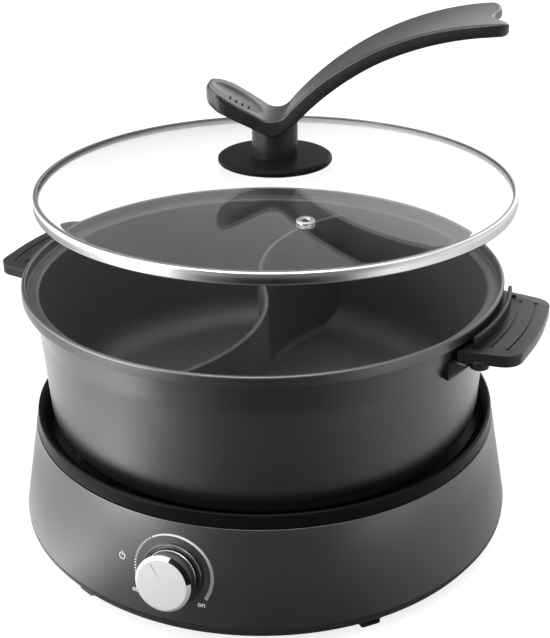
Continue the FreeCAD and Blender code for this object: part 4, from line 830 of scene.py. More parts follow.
class HOTPOT_OT_skirt(PieceOperator, bpy.types.Operator):
    """Build the conical skirt and its rim ring"""
    bl_idname = "hotpot.skirt"
    bl_label = "Skirt and rim"

    def build(self, context):
        base = sizes("base")
        low, top = base.skirt_low / MM, base.skirt_top / MM
        wide, narrow = base.skirt_low_radius / MM, base.skirt_top_radius / MM
        skirt = spun("base_skirt_shell", [
            (wide, low, 0.4), (narrow, top, 0.3), (narrow - 5.9, top, 0.2),
            (narrow - 5.9, top - 1.2, 0.2), (narrow - 1.2, top - 1.2, 0.3),
            (wide - 1.25, low, 0.3)], 256)
        opening = slab("inlet_opening", rectangle(
            base.inlet_width + 0.1 * MM, base.inlet_height + 0.1 * MM, base.inlet_corner),
            -12 * MM, 12 * MM)
        combine(skirt, settle(opening, back_frame()), "DIFFERENCE")
        dress(smooth(skirt), "skirt", "base", "skirt", "base_skirt")
        rim_top, rim = base.rim_top / MM, base.rim_radius / MM
        well = base.well_radius / MM
        ring = spun("rim_ring", [
            (narrow - 2, top + 0.6, 0.1), (narrow - 0.5, top + 0.6, 0.35), (rim, rim_top, 1.1),
            (rim - 1.9, rim_top, 0.9), (well, rim_top - 4.8, 0.9), (well, top + 1.2, 0.1),
            (narrow - 2, top + 1.2, 0.1)], 256)
        dress(ring, "rim", "base", "rim", "base_rim")


class HOTPOT_OT_feet(PieceOperator, bpy.types.Operator):
    """Build the four tapered feet and the cover's turned-down edge"""
    bl_idname = "hotpot.feet"
    bl_label = "Feet"

    def build(self, context):
        base = sizes("base")
        stretch = Matrix.Diagonal((base.foot_longer, base.foot_wider, 1, 1))
        for side in ("front_left", "front_right", "rear_left", "rear_right"):
            foot = from_node("foot_" + side, "tapered_foot_" + side, 1.6 * MM, 50)
            near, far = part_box("foot_" + side)
            spot = (near + far) / 2
            place = (Matrix.Rotation(math.atan2(spot.y, spot.x), 4, "Z")
                     @ Matrix.Translation((base.foot_place, 0, 0)))
            settle(foot, place @ stretch @ place.inverted())
            dress(smooth(foot), "cover", "base", "black_plastic", "foot_" + side)
        low, wide = base.skirt_low / MM, base.skirt_low_radius / MM
        edge = spun("cover_edge", [
            (wide - 8.0, low - 3.4), (wide - 6.8, low - 7.8, 0.8), (wide - 3.6, low - 7.8, 1.5),
            (wide - 0.4, low - 2.9, 0.6), (wide - 0.4, low - 0.3, 0.2), (wide - 3, low - 0.3)],
            192)
        dress(edge, "cover", "base", "black_plastic")


class HOTPOT_OT_knob(PieceOperator, bpy.types.Operator):
    """Build the knob's face cap, with a dark reflection painted on its chamfer, its side and the
    ringed bezel
    """
    bl_idname = "hotpot.knob"
    bl_label = "Knob"

    def build(self, context):
        knob = sizes("knob")
        face, side, ring = knob.face_radius / MM, knob.body_radius / MM, knob.bezel_radius / MM
        deep, bead, bore = knob.bezel_depth / MM, knob.bezel_height / MM, knob.bore / MM
        low, top, chamfer = knob.cap_low / MM, knob.cap_top / MM, knob.chamfer / MM
        bezel = spun("bezel_ring", [
            (bore + 0.35, -deep), (ring - 0.2, -deep), (ring, -0.5), (ring, bead / 2, 0.3),
            (ring - 0.6, bead, 0.3), (ring - 1.0, bead, 0.15), (ring - 1.3, bead - 0.6, 0.1),
            (ring - 1.7, bead - 0.6, 0.1), (ring - 1.9, bead - 0.2, 0.1),
            (side + 1.4, bead - 0.2, 0.15), (side + 1.15, 0.6, 0.2), (side + 0.9, -1.0, 0.3),
            (bore + 0.35, -1.0)], 128)
        dress(settle(bezel, front_frame()), "bezel", "base", "knob_metal", "knob_bezel")
        body = spun("knob_side_wall", [
            (bore, 0.4), (side + 0.5, 0.4, 0.2), (side + 0.5, 2.4, 0.5), (side, 3.0, 0.5),
            (side, low), (bore, low)], 128)
        dress(settle(body, front_frame()), "knob_side", "knob", "knob_metal", "knob_body")
        cap = spun("knob_face_cap", [
            (0, low), (face - 1.2, low, 0.3), (face, low + 0.5, 0.4), (face, top - chamfer, 0.25),
            (face - chamfer, top, 0.15), (0, top)], 128, closed=False)
        notch = slab("pointer_cut", [
            (-knob.pointer_half, knob.pointer_end), (0, knob.pointer_start),
            (knob.pointer_half, knob.pointer_end)], knob.cap_top - 0.6 * MM,
            knob.cap_top + 1.4 * MM)
        settle(notch, Matrix.Rotation(knob.pointer_angle, 4, "Z"))
        smooth(combine(cap, notch, "DIFFERENCE"), 20)
        # Paint a dark reflection onto the chamfer: its faces between the two angles take the black
        # rim finish.
        margin = 0.05 * MM
        paint(cap, lambda middle, normal: int(
            knob.mark_start < math.atan2(middle.x, middle.y) < knob.mark_end
            and math.hypot(middle.x, middle.y) > knob.face_radius - knob.chamfer + margin
            and knob.cap_low + 0.6 * MM < middle.z < knob.cap_top - margin))
        # The second finish, black, is the painted reflection on the chamfer.
        dress(settle(cap, front_frame()), ("knob_face", "rim"), "knob", "knob_metal",
              "knob_cap")


class HOTPOT_OT_scale(PieceOperator, bpy.types.Operator):
    """Print the heat scale and its plain marks round the knob"""
    bl_idname = "hotpot.scale"
    bl_label = "Printed scale"

    def build(self, context):
        scale = sizes("scale")
        high = 2 * MM
        band = list(zip(share_out(scale.band_start, scale.band_end, 60),
                        share_out(scale.wide_half, scale.narrow_half, 60)))
        inner = [clockwise(turn, scale.radius - half) for turn, half in band]
        outer = [clockwise(turn, scale.radius + half) for turn, half in band]
        sweep = slab("heat_band", outer + inner[::-1], 0, high)
        lay_on_skirt(sweep)
        dress(sweep, "band_ink", "base", "skirt")
        lean = scale.dash_width / 2 / scale.radius
        marks = [slab("heat_dash", [
            clockwise(turn + way * lean, scale.radius + out * scale.dash_length / 2)
            for way, out in ((-1, -1), (-1, 1), (1, 1), (1, -1))], 0, high)
            for turn in share_out(scale.dash_start, scale.dash_end, scale.dash_count - 1)]
        for letters, degrees, reach in (("on", 130.8, 25.9), ("off", -124, 29.7)):
            marks.append(word(letters, scale.letters, math.radians(degrees), reach * MM))
        spot = clockwise(scale.standby_turn, scale.standby_reach)
        ring = slab("standby_ring", arc(spot, scale.standby_radius, 0, 352, 40), 0, high)
        hole = slab("standby_hole", arc(
            spot, scale.standby_radius - scale.standby_stroke, 0, 350, 35), -MM, high + MM)
        combine(ring, hole, "DIFFERENCE")
        middle = spot.y + 1.7 * MM
        gap = slab("standby_gap", rectangle(1.8 * MM, 2.6 * MM, 0, spot.x, middle), -MM,
                   high + MM)
        marks.append(combine(ring, gap, "DIFFERENCE"))
        marks.append(slab("standby_bar", rectangle(0.7 * MM, 2.8 * MM, 0, spot.x, middle), 0,
                          high))
        pick(*marks)
        bpy.ops.object.join()
        marks[0].name = marks[0].data.name = "heat_scale"
        lay_on_skirt(marks[0])
        dress(marks[0], "ink", "base", "skirt")


def share_out(first, last, steps):
    """Values at even steps from the first to the last."""
    return [first + (last - first) * step / steps for step in range(steps + 1)]


def clockwise(turn, reach):
    """The point at a distance from the knob's axis, turned clockwise from straight up."""
    return Vector((math.sin(turn) * reach, math.cos(turn) * reach))


def word(text, height, turn, reach):
    """A short word of plain letters as a thin mesh, centred clockwise from straight up."""
    clear_selection()
    bpy.ops.object.text_add(location=(0, 0, 0))
    made = bpy.context.object
    made.data.body = text
    made.data.size = height * 1.35
    made.data.align_x = "CENTER"
    made.data.align_y = "CENTER"
    made.data.extrude = 1 * MM
    made.data.offset = 0.00008
    bpy.ops.object.convert(target="MESH")
    made = bpy.context.object
    made.name = "word_" + text.lower()
    return settle(made, Matrix.Translation(clockwise(turn, reach).to_3d() + UP * MM))


def lay_on_skirt(scale):
    """Bend the flat marks onto the skirt's cone as a thin film."""
    place = front_frame()
    foot = sizes("base").skirt_low
    for vertex in scale.data.vertices:
        flat = place @ Vector((vertex.co.x, vertex.co.y, 0))
        radius = skirt_radius(flat.z - foot)
        film = radius + (0.07 if vertex.co.z > MM else -0.03) * MM
        turn = flat.x / radius
        vertex.co = Vector((math.sin(turn) * film, -math.cos(turn) * film, flat.z))
    pick(scale)
    bpy.ops.object.mode_set(mode="EDIT")
    finish_mesh()


class HOTPOT_OT_inlet(PieceOperator, bpy.types.Operator):
    """Build the power inlet's socket"""
    bl_idname = "hotpot.inlet"
    bl_label = "Power inlet"

    def build(self, context):
        base = sizes("base")
        wide, tall, wall = base.inlet_width, base.inlet_height, 2 * base.inlet_wall
        block = slab("inlet_housing", rectangle(wide, tall, base.inlet_corner), -16.2 * MM,
                     1.8 * MM)
        ease(block, 0.8 * MM, 3, 60)
        cavity = slab("inlet_room", rectangle(wide - wall, tall - wall, 2.5 * MM), -11.2 * MM,
                      4 * MM)
        combine(block, cavity, "DIFFERENCE")
        smooth(settle(block, back_frame()))
        dress(block, "cover", "base", "black_plastic", "power_inlet")


# --- operators: pot ----------------------------------------------------------------------

def pot_profile():
    """The pot's closed section from the axis underneath, round the lip, to the axis inside."""
    pot = sizes("pot")
    low, ledge = pot.low / MM, pot.ledge / MM
    foot, wide, wall = pot.low_radius / MM, pot.wall_radius / MM, pot.wall / MM
    lip, rise = wide + pot.lip_out / MM, ledge + pot.lip_rise / MM
    return [
        (0, low + 0.6), (96, low + 0.6, 0.3), (98, low, 0.6), (foot, low, 26),
        (wide, low + 83, 30), (lip - 2.4, ledge - 2.0, 1.2), (lip, ledge - 1.0, 0.8),
        (lip, rise, 1.5), (lip - 2.8, rise, 1.1), (lip - 3.2, ledge, 1.0),
        (wide - wall, ledge, 2.2), (foot - wall, low + 2.8, 24), (0, low + 2.8)]


class HOTPOT_OT_pot(PieceOperator, bpy.types.Operator):
    """Build the pot's shell with its lip and ledge"""
    bl_idname = "hotpot.pot"
    bl_label = "Pot shell"

    def build(self, context):
        shell = spun("pot_body", pot_profile(), 256, closed=False, corner_steps=12)
        pot = sizes("pot")
        inside = pot.wall_radius + pot.lip_out - 2.9 * MM

        def choose(middle, normal):
            radius = math.hypot(middle.x, middle.y)
            inward = normal.x * middle.x + normal.y * middle.y < 0
            if middle.z > pot.ledge - 1 * MM:
                return 1 if radius < inside else 0
            if middle.z > pot.low + 2.4 * MM and (inward or normal.z > 0.3):
                return 1
            return 0
        paint(shell, choose)
        dress(shell, ("pot", "coating"), "pot", "pot_coat", "pot_shell")


class HOTPOT_OT_divider(PieceOperator, bpy.types.Operator):
    """Build the S-shaped divider with its rounded top and coved foot"""
    bl_idname = "hotpot.divider"
    bl_label = "Divider"

    def build(self, context):
        pot = sizes("pot")
        half = (pot.wall_radius - pot.wall) / 2
        bulge = pot.divider_bulge
        radius = (half * half + bulge * bulge) / (2 * bulge)
        centre = Vector((radius - bulge, half, 0))
        across = centre.normalized()
        floor, thick, top = pot.low + 2.6 * MM, pot.divider_half, pot.divider_top
        side = [(thick, top, 1.45 * MM), (thick, floor + 4 * MM, 3 * MM),
                (4.6 * MM, floor + 0.4 * MM, 0), (5.5 * MM, floor, 0)]
        section = soften([(-x, z, corner) for x, z, corner in side[::-1]] + side, 6)
        points = [across * point.x + UP * point.y for point in section]
        points.append(points[0])
        wall = begin("divider_wall", points[0])
        trace(points)
        select_mesh()
        sweep = 2 * math.asin(half / radius) + math.radians(1.5)
        bpy.ops.mesh.spin(steps=56, angle=sweep, center=centre, axis=(0, 0, 1))
        bpy.ops.mesh.edge_face_add()
        bpy.ops.mesh.select_all(action="DESELECT")
        mesh = bmesh.from_edit_mesh(wall.data)
        for vertex in mesh.verts:
            vertex.select = abs(vertex.co.dot(Vector((-across.y, across.x, 0)))) < 0.000001
        mesh.select_flush(True)
        for edge in mesh.edges:
            edge.select = edge.verts[0].select and edge.verts[1].select
        bmesh.update_edit_mesh(wall.data)
        bpy.ops.mesh.spin(steps=56, angle=sweep, center=-centre, axis=(0, 0, 1))
        bpy.ops.mesh.edge_face_add()
        finish_mesh()
        foot = (pot.low_radius - pot.wall) / MM
        wide = (pot.wall_radius - pot.wall) / MM
        room = spun("divider_room", [
            (0, floor / MM - 1), (foot + 0.6, floor / MM - 0.4, 24), (wide + 0.6, pot.ledge / MM),
            (0, pot.ledge / MM)], 192, closed=False, corner_steps=12)
        combine(wall, room, "INTERSECT")
        smooth(settle(wall, pot_frame()), 30)
        dress(wall, "coating", "pot", "pot_coat", "pot_divider")


def strip_outline(radius, width, half, round_ends=False):
    """A strip that follows a circle about the pot's axis, in metres."""
    reach = math.degrees(math.asin(half / (radius + width / 2)))
    outer = arc((0, 0), radius + width, -reach, reach, 28)
    inner = arc((0, 0), radius, reach, -reach, 28)
    if not round_ends:
        return outer + inner
    ends = []
    for middle, start in ((reach, reach), (-reach, 180 - reach)):
        spot = Vector((math.cos(math.radians(middle)), math.sin(math.radians(middle))))
        spot *= radius + width / 2
        ends.append(arc(spot, width / 2, start + 20, start + 160, 7))
    return outer + ends[0] + inner + ends[1]


class HOTPOT_OT_grips(PieceOperator, bpy.types.Operator):
    """Build the two side grips with their ribs and grooves, and the brackets"""
    bl_idname = "hotpot.grips"
    bl_label = "Side grips"

    def build(self, context):
        grip = sizes("grip")
        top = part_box("handle_grip_right")[1].z - grip.rib_height
        low = top - grip.thickness
        root = math.degrees(grip.root_angle)
        outline = arc((0, 0), grip.root_radius, root, -root, 30) + soften([
            (grip.root_reach, -grip.root_half, 0),
            (grip.corner_reach, -grip.corner_half, grip.corner_radius),
            (grip.reach, 0, 220 * MM),
            (grip.corner_reach, grip.corner_half, grip.corner_radius),
            (grip.root_reach, grip.root_half, 0)], 8)
        plate = slab("grip_plate", outline, low, top)
        ease(plate, 1.5 * MM, 4, 40)
        rib = slab("grip_rib", strip_outline(grip.rib_radius, grip.rib_wall, grip.rib_half, True),
                   top - 2 * MM, top + grip.rib_height)
        combine(plate, ease(rib, 1.1 * MM, 3, 50), "UNION")
        boss = slab("grip_boss", arc((grip.rib_radius, -grip.boss_place), grip.boss_radius, 0,
                                     350, 35), low - grip.boss_drop, low + 2 * MM)
        combine(plate, ease(boss, 0.8 * MM, 3, 60), "UNION")
        valley = slab("valley_cut", strip_outline(
            grip.rib_radius + grip.rib_wall, 3.0 * MM, grip.rib_half + 2 * MM, True),
            top - 1.5 * MM, top + 2 * MM)
        combine(plate, valley, "DIFFERENCE")
        for radius in (grip.groove_near, grip.groove_far):
            groove = slab("groove_cut", strip_outline(
                radius, grip.groove_width, grip.groove_half, True), top - MM, top + 2 * MM)
            combine(plate, groove, "DIFFERENCE")
            for y in (-grip.groove_half, grip.groove_half):
                x = math.sqrt((radius + grip.groove_width / 2) ** 2 - y * y)
                clear_selection()
                bpy.ops.mesh.primitive_uv_sphere_add(
                    segments=24, ring_count=12, radius=grip.dimple,
                    location=(x, y, top + 0.7 * MM))
                combine(plate, bpy.context.object, "DIFFERENCE")
        for side, turn in (("right", 0), ("left", math.pi)):
            place = pot_frame() @ Matrix.Rotation(turn, 4, "Z")
            copy = smooth(again(plate, "side_grip_" + side, place), 30)
            dress(copy, "plastic", "pot", "handle_plastic", "handle_grip_" + side)
            bracket = grip_bracket("grip_bracket_" + side, low)
            settle(bracket, place)
            # The second finish is the painted highlight on the gussets' outer faces.
            dress(smooth(bracket, 30), ("plastic", "pot"), "pot", "handle_plastic",
                  "handle_bracket_" + side)
        bpy.data.objects.remove(plate)


def grip_bracket(name, top):
    """The bracket under a grip: a foot against the pot's wall, a shelf and two gussets."""
    grip = sizes("grip")
    under = top - 0.05 * MM
    bracket = slab(name, strip_outline(grip.bracket_radius, grip.bracket_wall,
                                       grip.bracket_half), top - grip.bracket_height, under)
    ease(bracket, 0.3 * MM, 2, 60)
    shelf = slab("bracket_shelf", strip_outline(grip.shelf_radius, grip.shelf_width,
                                                grip.shelf_half), top - grip.shelf, under)
    combine(bracket, ease(shelf, 0.3 * MM, 2, 60), "UNION")
    for side in (-1, 1):
        web = slab("bracket_gusset", [Vector(spot) * MM for spot in (
            (143.5, 151), (146.3, 151), (158.2, 162), (143.5, 162))], side * grip.gusset_in,
            side * grip.gusset_out, plane="XZ")
        combine(bracket, web, "UNION")
    # Painted highlight: the gussets' outer faces alone take the pot's lighter satin grey, so that
    # the webs look lit.
    paint(bracket, lambda middle, normal: int(
        abs(abs(middle.y) - grip.gusset_out) < 0.15 * MM and abs(normal.y) > 0.9))
    return bracket


# --- operators: lid ----------------------------------------------------------------------

def dome_height(radius, lid, under=0.0):
    """Height of the glass's face at a radius, both in metres."""
    curve = lid.dome_radius - under
    return lid.apex - lid.dome_radius + math.sqrt(curve * curve - radius * radius)


class HOTPOT_OT_glass(PieceOperator, bpy.types.Operator):
    """Build the domed glass with its holes"""
    bl_idname = "hotpot.glass"
    bl_label = "Glass"

    def build(self, context):
        lid = sizes("lid")
        radii = share_out(lid.screw_bore, lid.glass_radius, 30)
        outside = [(r / MM, dome_height(r, lid) / MM) for r in radii]
        inside = [(r / MM, dome_height(r, lid, lid.glass) / MM) for r in radii]
        outside[-1] += (1.4,)
        inside[-1] += (1.4,)
        glass = spun("domed_glass", outside + inside[::-1], 256)
        hole = slab("vent_room", arc((0, 0), lid.vent_bore, 0, 350, 35), -9 * MM, 3 * MM)
        combine(glass, settle(hole, vent_frame()), "DIFFERENCE")
        settle(smooth(glass, 25), lid_frame())
        dress(glass, "glass", "lid", "clear_glass", "lid_glass")


def vent_frame():
    """Square to the glass at the steam vent, before the lid's own turn."""
    lid = sizes("lid")
    lean = math.asin(lid.vent_reach / lid.dome_radius)
    return (Matrix.Rotation(lid.vent_turn, 4, "Z")
            @ Matrix.Translation((0, 0, lid.apex - lid.dome_radius))
            @ Matrix.Rotation(lean, 4, "Y") @ Matrix.Translation((0, 0, lid.dome_radius)))


class HOTPOT_OT_band(PieceOperator, bpy.types.Operator):
    """Build the steel band, its lips, the bed of its seal and the steam vent"""
    bl_idname = "hotpot.band"
    bl_label = "Steel band and vent"

    def build(self, context):
        lid = sizes("lid")
        low, top, wide = lid.low / MM, lid.top / MM, lid.radius / MM
        band = spun("steel_band", [
            (wide - 4.6, low, 0.2), (wide, low, 0.9), (wide, top, 1.5), (wide - 2.6, top, 0.25),
            (wide - 2.6, top - 0.6, 0.2), (wide - 0.7, top - 0.6, 0.7),
            (wide - 0.6, low + 0.6, 0.3), (wide - 4.6, low + 0.6, 0.2)], 256)
        dress(settle(band, lid_frame()), "band", "lid", "band_steel", "lid_band")
        lip = spun("upper_lip", [
            (wide - 3.3, top - 0.5, 0), (wide - 2.62, top - 0.5, 0), (wide - 2.5, top + 0.12, 0.2),
            (wide - 3.25, top + 0.2, 0.25)], 256)
        dress(settle(lip, lid_frame()), "lip", "lid", "silicone", "lid_seals")
        under = spun("lower_lip", [
            (wide - 2.2, low - 0.22, 0.1), (wide - 0.25, low - 0.22, 0.12),
            (wide - 0.2, low + 0.25, 0), (wide - 2.2, low + 0.25, 0)], 256)
        dress(settle(under, lid_frame()), "silicone", "lid", "silicone")
        bed = spun("seal_bed", [
            (wide - 4.5, low + 0.7, 0.2), (wide - 0.7, low + 0.7, 0.2),
            (wide - 0.7, low + 2.1, 0.2), (wide - 4.5, low + 2.1, 0.2)], 192)
        dress(settle(bed, lid_frame()), "silicone", "lid", "silicone")
        vent = spun("steam_vent", [
            (2.2, -5.1, 0.3), (5.6, -5.1, 0.5), (5.6, -4.1, 0.3), (3.8, -4.1, 0), (3.8, 0.06, 0),
            (5.6, 0.06, 0.2), (5.2, 1.1, 0.6), (2.9, 1.3, 0.4), (2.2, 0.3, 0.4)], 64)
        settle(vent, lid_frame() @ vent_frame())
        dress(vent, "screw", "lid", "rubber_parts", "vent_eyelet")


class HOTPOT_OT_seat(PieceOperator, bpy.types.Operator):
    """Build the handle's seat disc and its post"""
    bl_idname = "hotpot.seat"
    bl_label = "Handle seat and post"

    def build(self, context):
        lid = sizes("lid")
        low, wide, post = lid.apex / MM + 0.8, lid.seat_radius / MM, lid.post_radius / MM
        disc = spun("seat_disc", [
            (2.7, low, 0), (wide - 0.8, low, 0.3), (wide, low + 0.9, 0.5), (wide, low + 2.9, 0.7),
            (wide - 1.6, low + 4.0, 1.2), (2.7, low + 4.0, 0)], 160)
        dress(settle(disc, lid_frame()), "dull", "lid", "handle_plastic", "handle_seat")
        foot = low + 4.0
        column = spun("handle_post", [
            (2.6, foot), (post, foot, 0), (post, foot + 28, 0), (2.6, foot + 28)], 128)
        fold = sizes("handle").fold / MM
        wedge = slab("handle_room", [Vector(spot) * MM for spot in (
            (1.5, fold), (-26, fold + 27.5 * 0.5), (-26, 320), (36, 320),
            (36, fold + 34.5 * 0.8))], -20 * MM, 20 * MM, plane="XZ")
        combine(column, wedge, "DIFFERENCE")
        settle(smooth(column, 30), lid_frame())
        dress(column, "plastic", "lid", "handle_plastic", "lid_post")


def bow(start, end, radius, steps=10):
    """Points from start to end that bulge to the left of that way, on an arc."""
    start, end = Vector(start), Vector(end)
    chord = end - start
    side = Vector((-chord.y, chord.x)).normalized()
    centre = (start + end) / 2 - side * math.sqrt(radius * radius - chord.length_squared / 4)
    return swing(centre, start, end, steps)


def height_at(line, reach):
    """Height of a line of (reach, height) points, run on straight past its ends."""
    for here, there in zip(line, line[1:]):
        if reach <= there[0] or there is line[-1]:
            share = (reach - here[0]) / (there[0] - here[0])
            return here[1] + (there[1] - here[1]) * share


# The handle's upper and lower lines, as (reach, height) in millimetres.
HANDLE_TOP = ([Vector((-38.6, 306.8)), Vector((-9, 289.8))]
              + bow((10, 293), (-9, 289.8), 12.5)[::-1][1:]
              + bow((10, 293), (61, 332.6), 180)[1:] + bow((61, 332.6), (139, 351.7), 180)[1:])
HANDLE_LOW = (soften([(-43.2, 297.2, 0), (-9, 280.2, 0), (1.5, 274.9, 7), (16, 286.8, 0)], 6)
              + bow((16, 286.8), (64, 324.6), 180)[1:] + bow((64, 324.6), (140, 344), 180)[1:])


class HOTPOT_OT_handle(PieceOperator, bpy.types.Operator):
    """Build the V-shaped standing handle"""
    bl_idname = "hotpot.handle"
    bl_label = "Lid handle"

    def build(self, context):
        section = handle_section()
        stations = handle_stations()
        points = [handle_point((0.5, 0.0, 1.0), spot) for spot in section]
        handle = begin("standing_handle", points[0])
        trace(points + [points[0]])
        select_mesh()
        bpy.ops.mesh.remove_doubles(threshold=MERGE)
        for _ in stations[1:]:
            bpy.ops.mesh.extrude_region_move(TRANSFORM_OT_translate={"value": (MM, 0, 0)})
        bpy.ops.object.mode_set(mode="OBJECT")
        count = len(section)
        for place, vertex in enumerate(handle.data.vertices):
            vertex.co = handle_point(stations[place // count], section[place % count])
        bpy.ops.object.mode_set(mode="EDIT")
        finish_mesh()
        rest = thumb_frame()
        bpy.ops.mesh.primitive_uv_sphere_add(segments=64, ring_count=32, radius=1,
                                             scale=(20 * MM, 15.5 * MM, 4.2 * MM),
                                             location=(-2.5 * MM, 1.5 * MM, 1.5 * MM))
        combine(handle, settle(bpy.context.object, rest @ bpy.context.object.matrix_world),
                "DIFFERENCE")
        size = sizes("handle")
        for step in range(4):
            tick = slab("tick_cut", rectangle(
                size.tick_width, size.tick_length, 0, step * size.tick_gap - 11.5 * MM,
                4.5 * MM), -5.0 * MM, 0)
            combine(handle, settle(tick, rest), "DIFFERENCE")
        settle(smooth(handle, 30), lid_frame())
        dress(handle, "glossy", "lid", "handle_plastic", "lid_handle")


def thumb_frame():
    """On the short arm's top: local X runs up the arm's slope, away from the post."""
    lean = math.atan2(306.8 - 289.8, 38.6 - 9)
    return (Matrix.Translation(Vector((-25, 0, 299.0)) * MM) @ Matrix.Rotation(math.pi, 4, "Z")
            @ Matrix.Rotation(-lean, 4, "Y"))


def handle_section():
    """The handle's section as (side, level, out, up): the flat's end and the corner's turn."""
    across = [math.sin(math.radians(90 - 180 * step / 28)) for step in range(29)]
    turns = [math.radians(18 * step) for step in range(1, 5)]
    points = [(-side, 1, 0, 1) for side in across]
    points += [(1, 1, math.sin(turn), math.cos(turn)) for turn in turns]
    points += [(1, 1, 1, 0), (1, 0, 1, 0), (1, -1, 1, 0)]
    points += [(1, -1, math.cos(turn), -math.sin(turn)) for turn in turns]
    points += [(side, -1, 0, -1) for side in across]
    points += [(-1, -1, -math.sin(turn), -math.cos(turn)) for turn in turns]
    points += [(-1, -1, -1, 0), (-1, 0, -1, 0), (-1, 1, -1, 0)]
    points += [(-1, 1, -math.cos(turn), math.sin(turn)) for turn in turns]
    return points


def handle_stations():
    """Places along the handle: (share of its length, inset at the end, share of thickness)."""
    ends = [(0.0, 0.0, 0.0), (0.0, 0.0, 0.5), (0.0, 0.25, 0.7), (0.0, 0.9, 0.9), (0.0, 1.9, 1.0)]
    middle = [(step / 72, 0.0, 1.0) for step in range(1, 72)]
    return ends + middle + [(1.0, -inset, full) for _, inset, full in ends[::-1]]


def handle_point(station, spot):
    """A point of the handle's surface in metres, before the lid's turn."""
    size = sizes("handle")
    share, inset, full = station
    side, level, out, up = spot
    along = -43 + share * 183
    arm, narrowing = (size.short_half, 30) if along < 0 else (size.long_half, 131)
    half = (size.post_half + (arm - size.post_half) * min(1, abs(along) / narrowing)) / MM
    corner = size.edge / MM * full
    across = side * (half - corner) + out * corner
    end_corner = size.near_corner if across > 0 else size.far_corner
    short_end = -size.short_reach / MM + corner_round(abs(across), size.short_half / MM,
                                                      end_corner / MM)
    long_end = size.long_reach / MM - tail_cut(abs(across), half)
    reach = short_end + (long_end - short_end) * share + inset
    top = height_at(HANDLE_TOP, reach)
    low = height_at(HANDLE_LOW, reach)
    thick = (top - low) / 2 * full
    height = (top + low) / 2 + level * (thick - corner) + up * corner
    if level > 0:
        depth = 0.4 + 2.0 * max(0, (reach - 40) / 100) ** 1.5
        height -= depth * (1 - (across / half) ** 2) * min(1, abs(reach) / 12) * full
    return Vector((reach * MM, across * MM, height * MM))


def corner_round(across, half, radius):
    """How far a round corner sets an end back at a distance from the middle."""
    past = min(max(0, across - (half - radius)), radius)
    return radius - math.sqrt(max(0, radius * radius - past * past))


def tail_cut(across, half):
    """How far the long arm's end is cut back: a shallow hollow between two round lobes."""
    size = sizes("handle")
    share = min(1, across / half / 0.62)
    return (size.tail_notch / MM * (1 - share ** 2) ** 2
            + corner_round(across, half, size.tail_corner / MM))


# --- operators: solids that stay, stage --------------------------------------------------

class HOTPOT_OT_inner(PieceOperator, bpy.types.Operator):
    """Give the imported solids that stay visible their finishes"""
    bl_idname = "hotpot.inner"
    bl_label = "Inner pieces"

    def build(self, context):
        stays = {
            "bottom_cover": "cover", "foot_pads": "rubber", "base_well": "well",
            "support_posts": "sheet", "cover_screws": "screw", "well_screws": "screw",
            "heating_plate": "plate", "heating_element": "element", "heat_reflector": "sheet",
            "plate_studs": "screw", "stud_nuts": "screw", "sensor_sleeve": "brass",
            "sensor_cap": "plate", "sensor_stem": "brass", "sensor_spring": "sheet",
            "thermal_fuse": "ceramic", "fuse_clip": "sheet", "regulator": "ceramic",
            "bezel_screws": "screw", "knob_shaft": "brass", "inlet_pins": "brass",
            "grip_screws": "screw", "wall_studs": "screw", "wall_nuts": "screw",
            "seat_gasket": "silicone", "lid_washer": "sheet", "lid_screw": "screw"}
        for node, finish in stays.items():
            dress_node(node, finish)


class HOTPOT_OT_stage(PieceOperator, bpy.types.Operator):
    """Set the floor, the world, the lamps and the camera"""
    bl_idname = "hotpot.stage"
    bl_label = "Stage"

    def build(self, context):
        floor_and_world()
        lamps()
        camera()


# Light from each way round the object: (degrees to the right of the camera's way, level).
SKY_LEVELS = ((-180, 0.42), (-168, 0.2), (-150, 0.5), (-125, 1.7), (-100, 2.7), (-80, 3.8),
              (-64, 5.0), (-52, 4.4), (-43, 0.7), (-36, 0.3), (-20, 0.22), (0, 0.18),
              (22, 0.24), (42, 0.4), (54, 0.72), (100, 0.75), (140, 0.9), (156, 2.2),
              (168, 1.0), (180, 0.42))
# What the floor shows in reflections, from the ring by the object to the far one.
CLOSE_LEVELS = ((-180, 0.8), (-140, 1.04), (-120, 1.03), (-100, 0.9), (-80, 1.2), (-58, 1.9),
                (-42, 0.5), (-20, 0.14), (0, 0.08), (20, 0.1), (40, 0.26), (60, 0.47),
                (80, 0.58), (120, 0.8), (180, 0.8))
NEAR_LEVELS = ((-180, 1.0), (-140, 1.65), (-116, 1.55), (-83, 1.3), (-60, 1.5), (-49, 1.0),
               (-33, 0.35), (-16, 0.17), (0, 0.13), (16, 0.14), (33, 0.22), (66, 0.5),
               (83, 0.8), (99, 1.2), (120, 1.5), (150, 1.2), (180, 1.0))
RING_LEVELS = ((-180, 0.5), (-140, 0.45), (-100, 0.5), (-80, 0.95), (-60, 1.9), (-44, 1.3),
               (-36, 0.5), (-28, 0.15), (-14, 0.03), (0, 0.015), (14, 0.03), (28, 0.15),
               (36, 0.6), (46, 1.1), (60, 1.0), (80, 0.85), (100, 0.7), (140, 0.65), (180, 0.5))
FAR_LEVELS = ((-180, 0.5), (-140, 1.6), (-100, 2.7), (-80, 3.6), (-62, 4.6), (-52, 3.8),
              (-42, 0.7), (-16, 0.2), (0, 0.14), (22, 0.2), (40, 0.38), (54, 0.66), (99, 1.0),
              (130, 0.9), (160, 0.5), (180, 0.5))
# The level at the top of every table's ramp.
BRIGHTEST = 6.0
# The room's level high up, and what is added straight overhead.
CEILING, ZENITH = 0.75, 1.15
# The floor's own light, and where one table gives way to the next, in metres from the middle.
FLOOR_GLOW = 0.8
FLOOR_EDGES = ((0.26, 0.31), (0.44, 0.52), (0.76, 0.9))
# The camera's sensor, in millimetres.
SENSOR = 36
# Each lamp's name, shape, sides in metres, power in watts and place.
LAMPS = (("top_panel", "SQUARE", 1.8, 1.8, 2, (-0.25, 0.1, 1.9)),
         ("edge_strip", "RECTANGLE", 0.9, 0.07, 2.2, (0.17, -0.48, 1.25)))


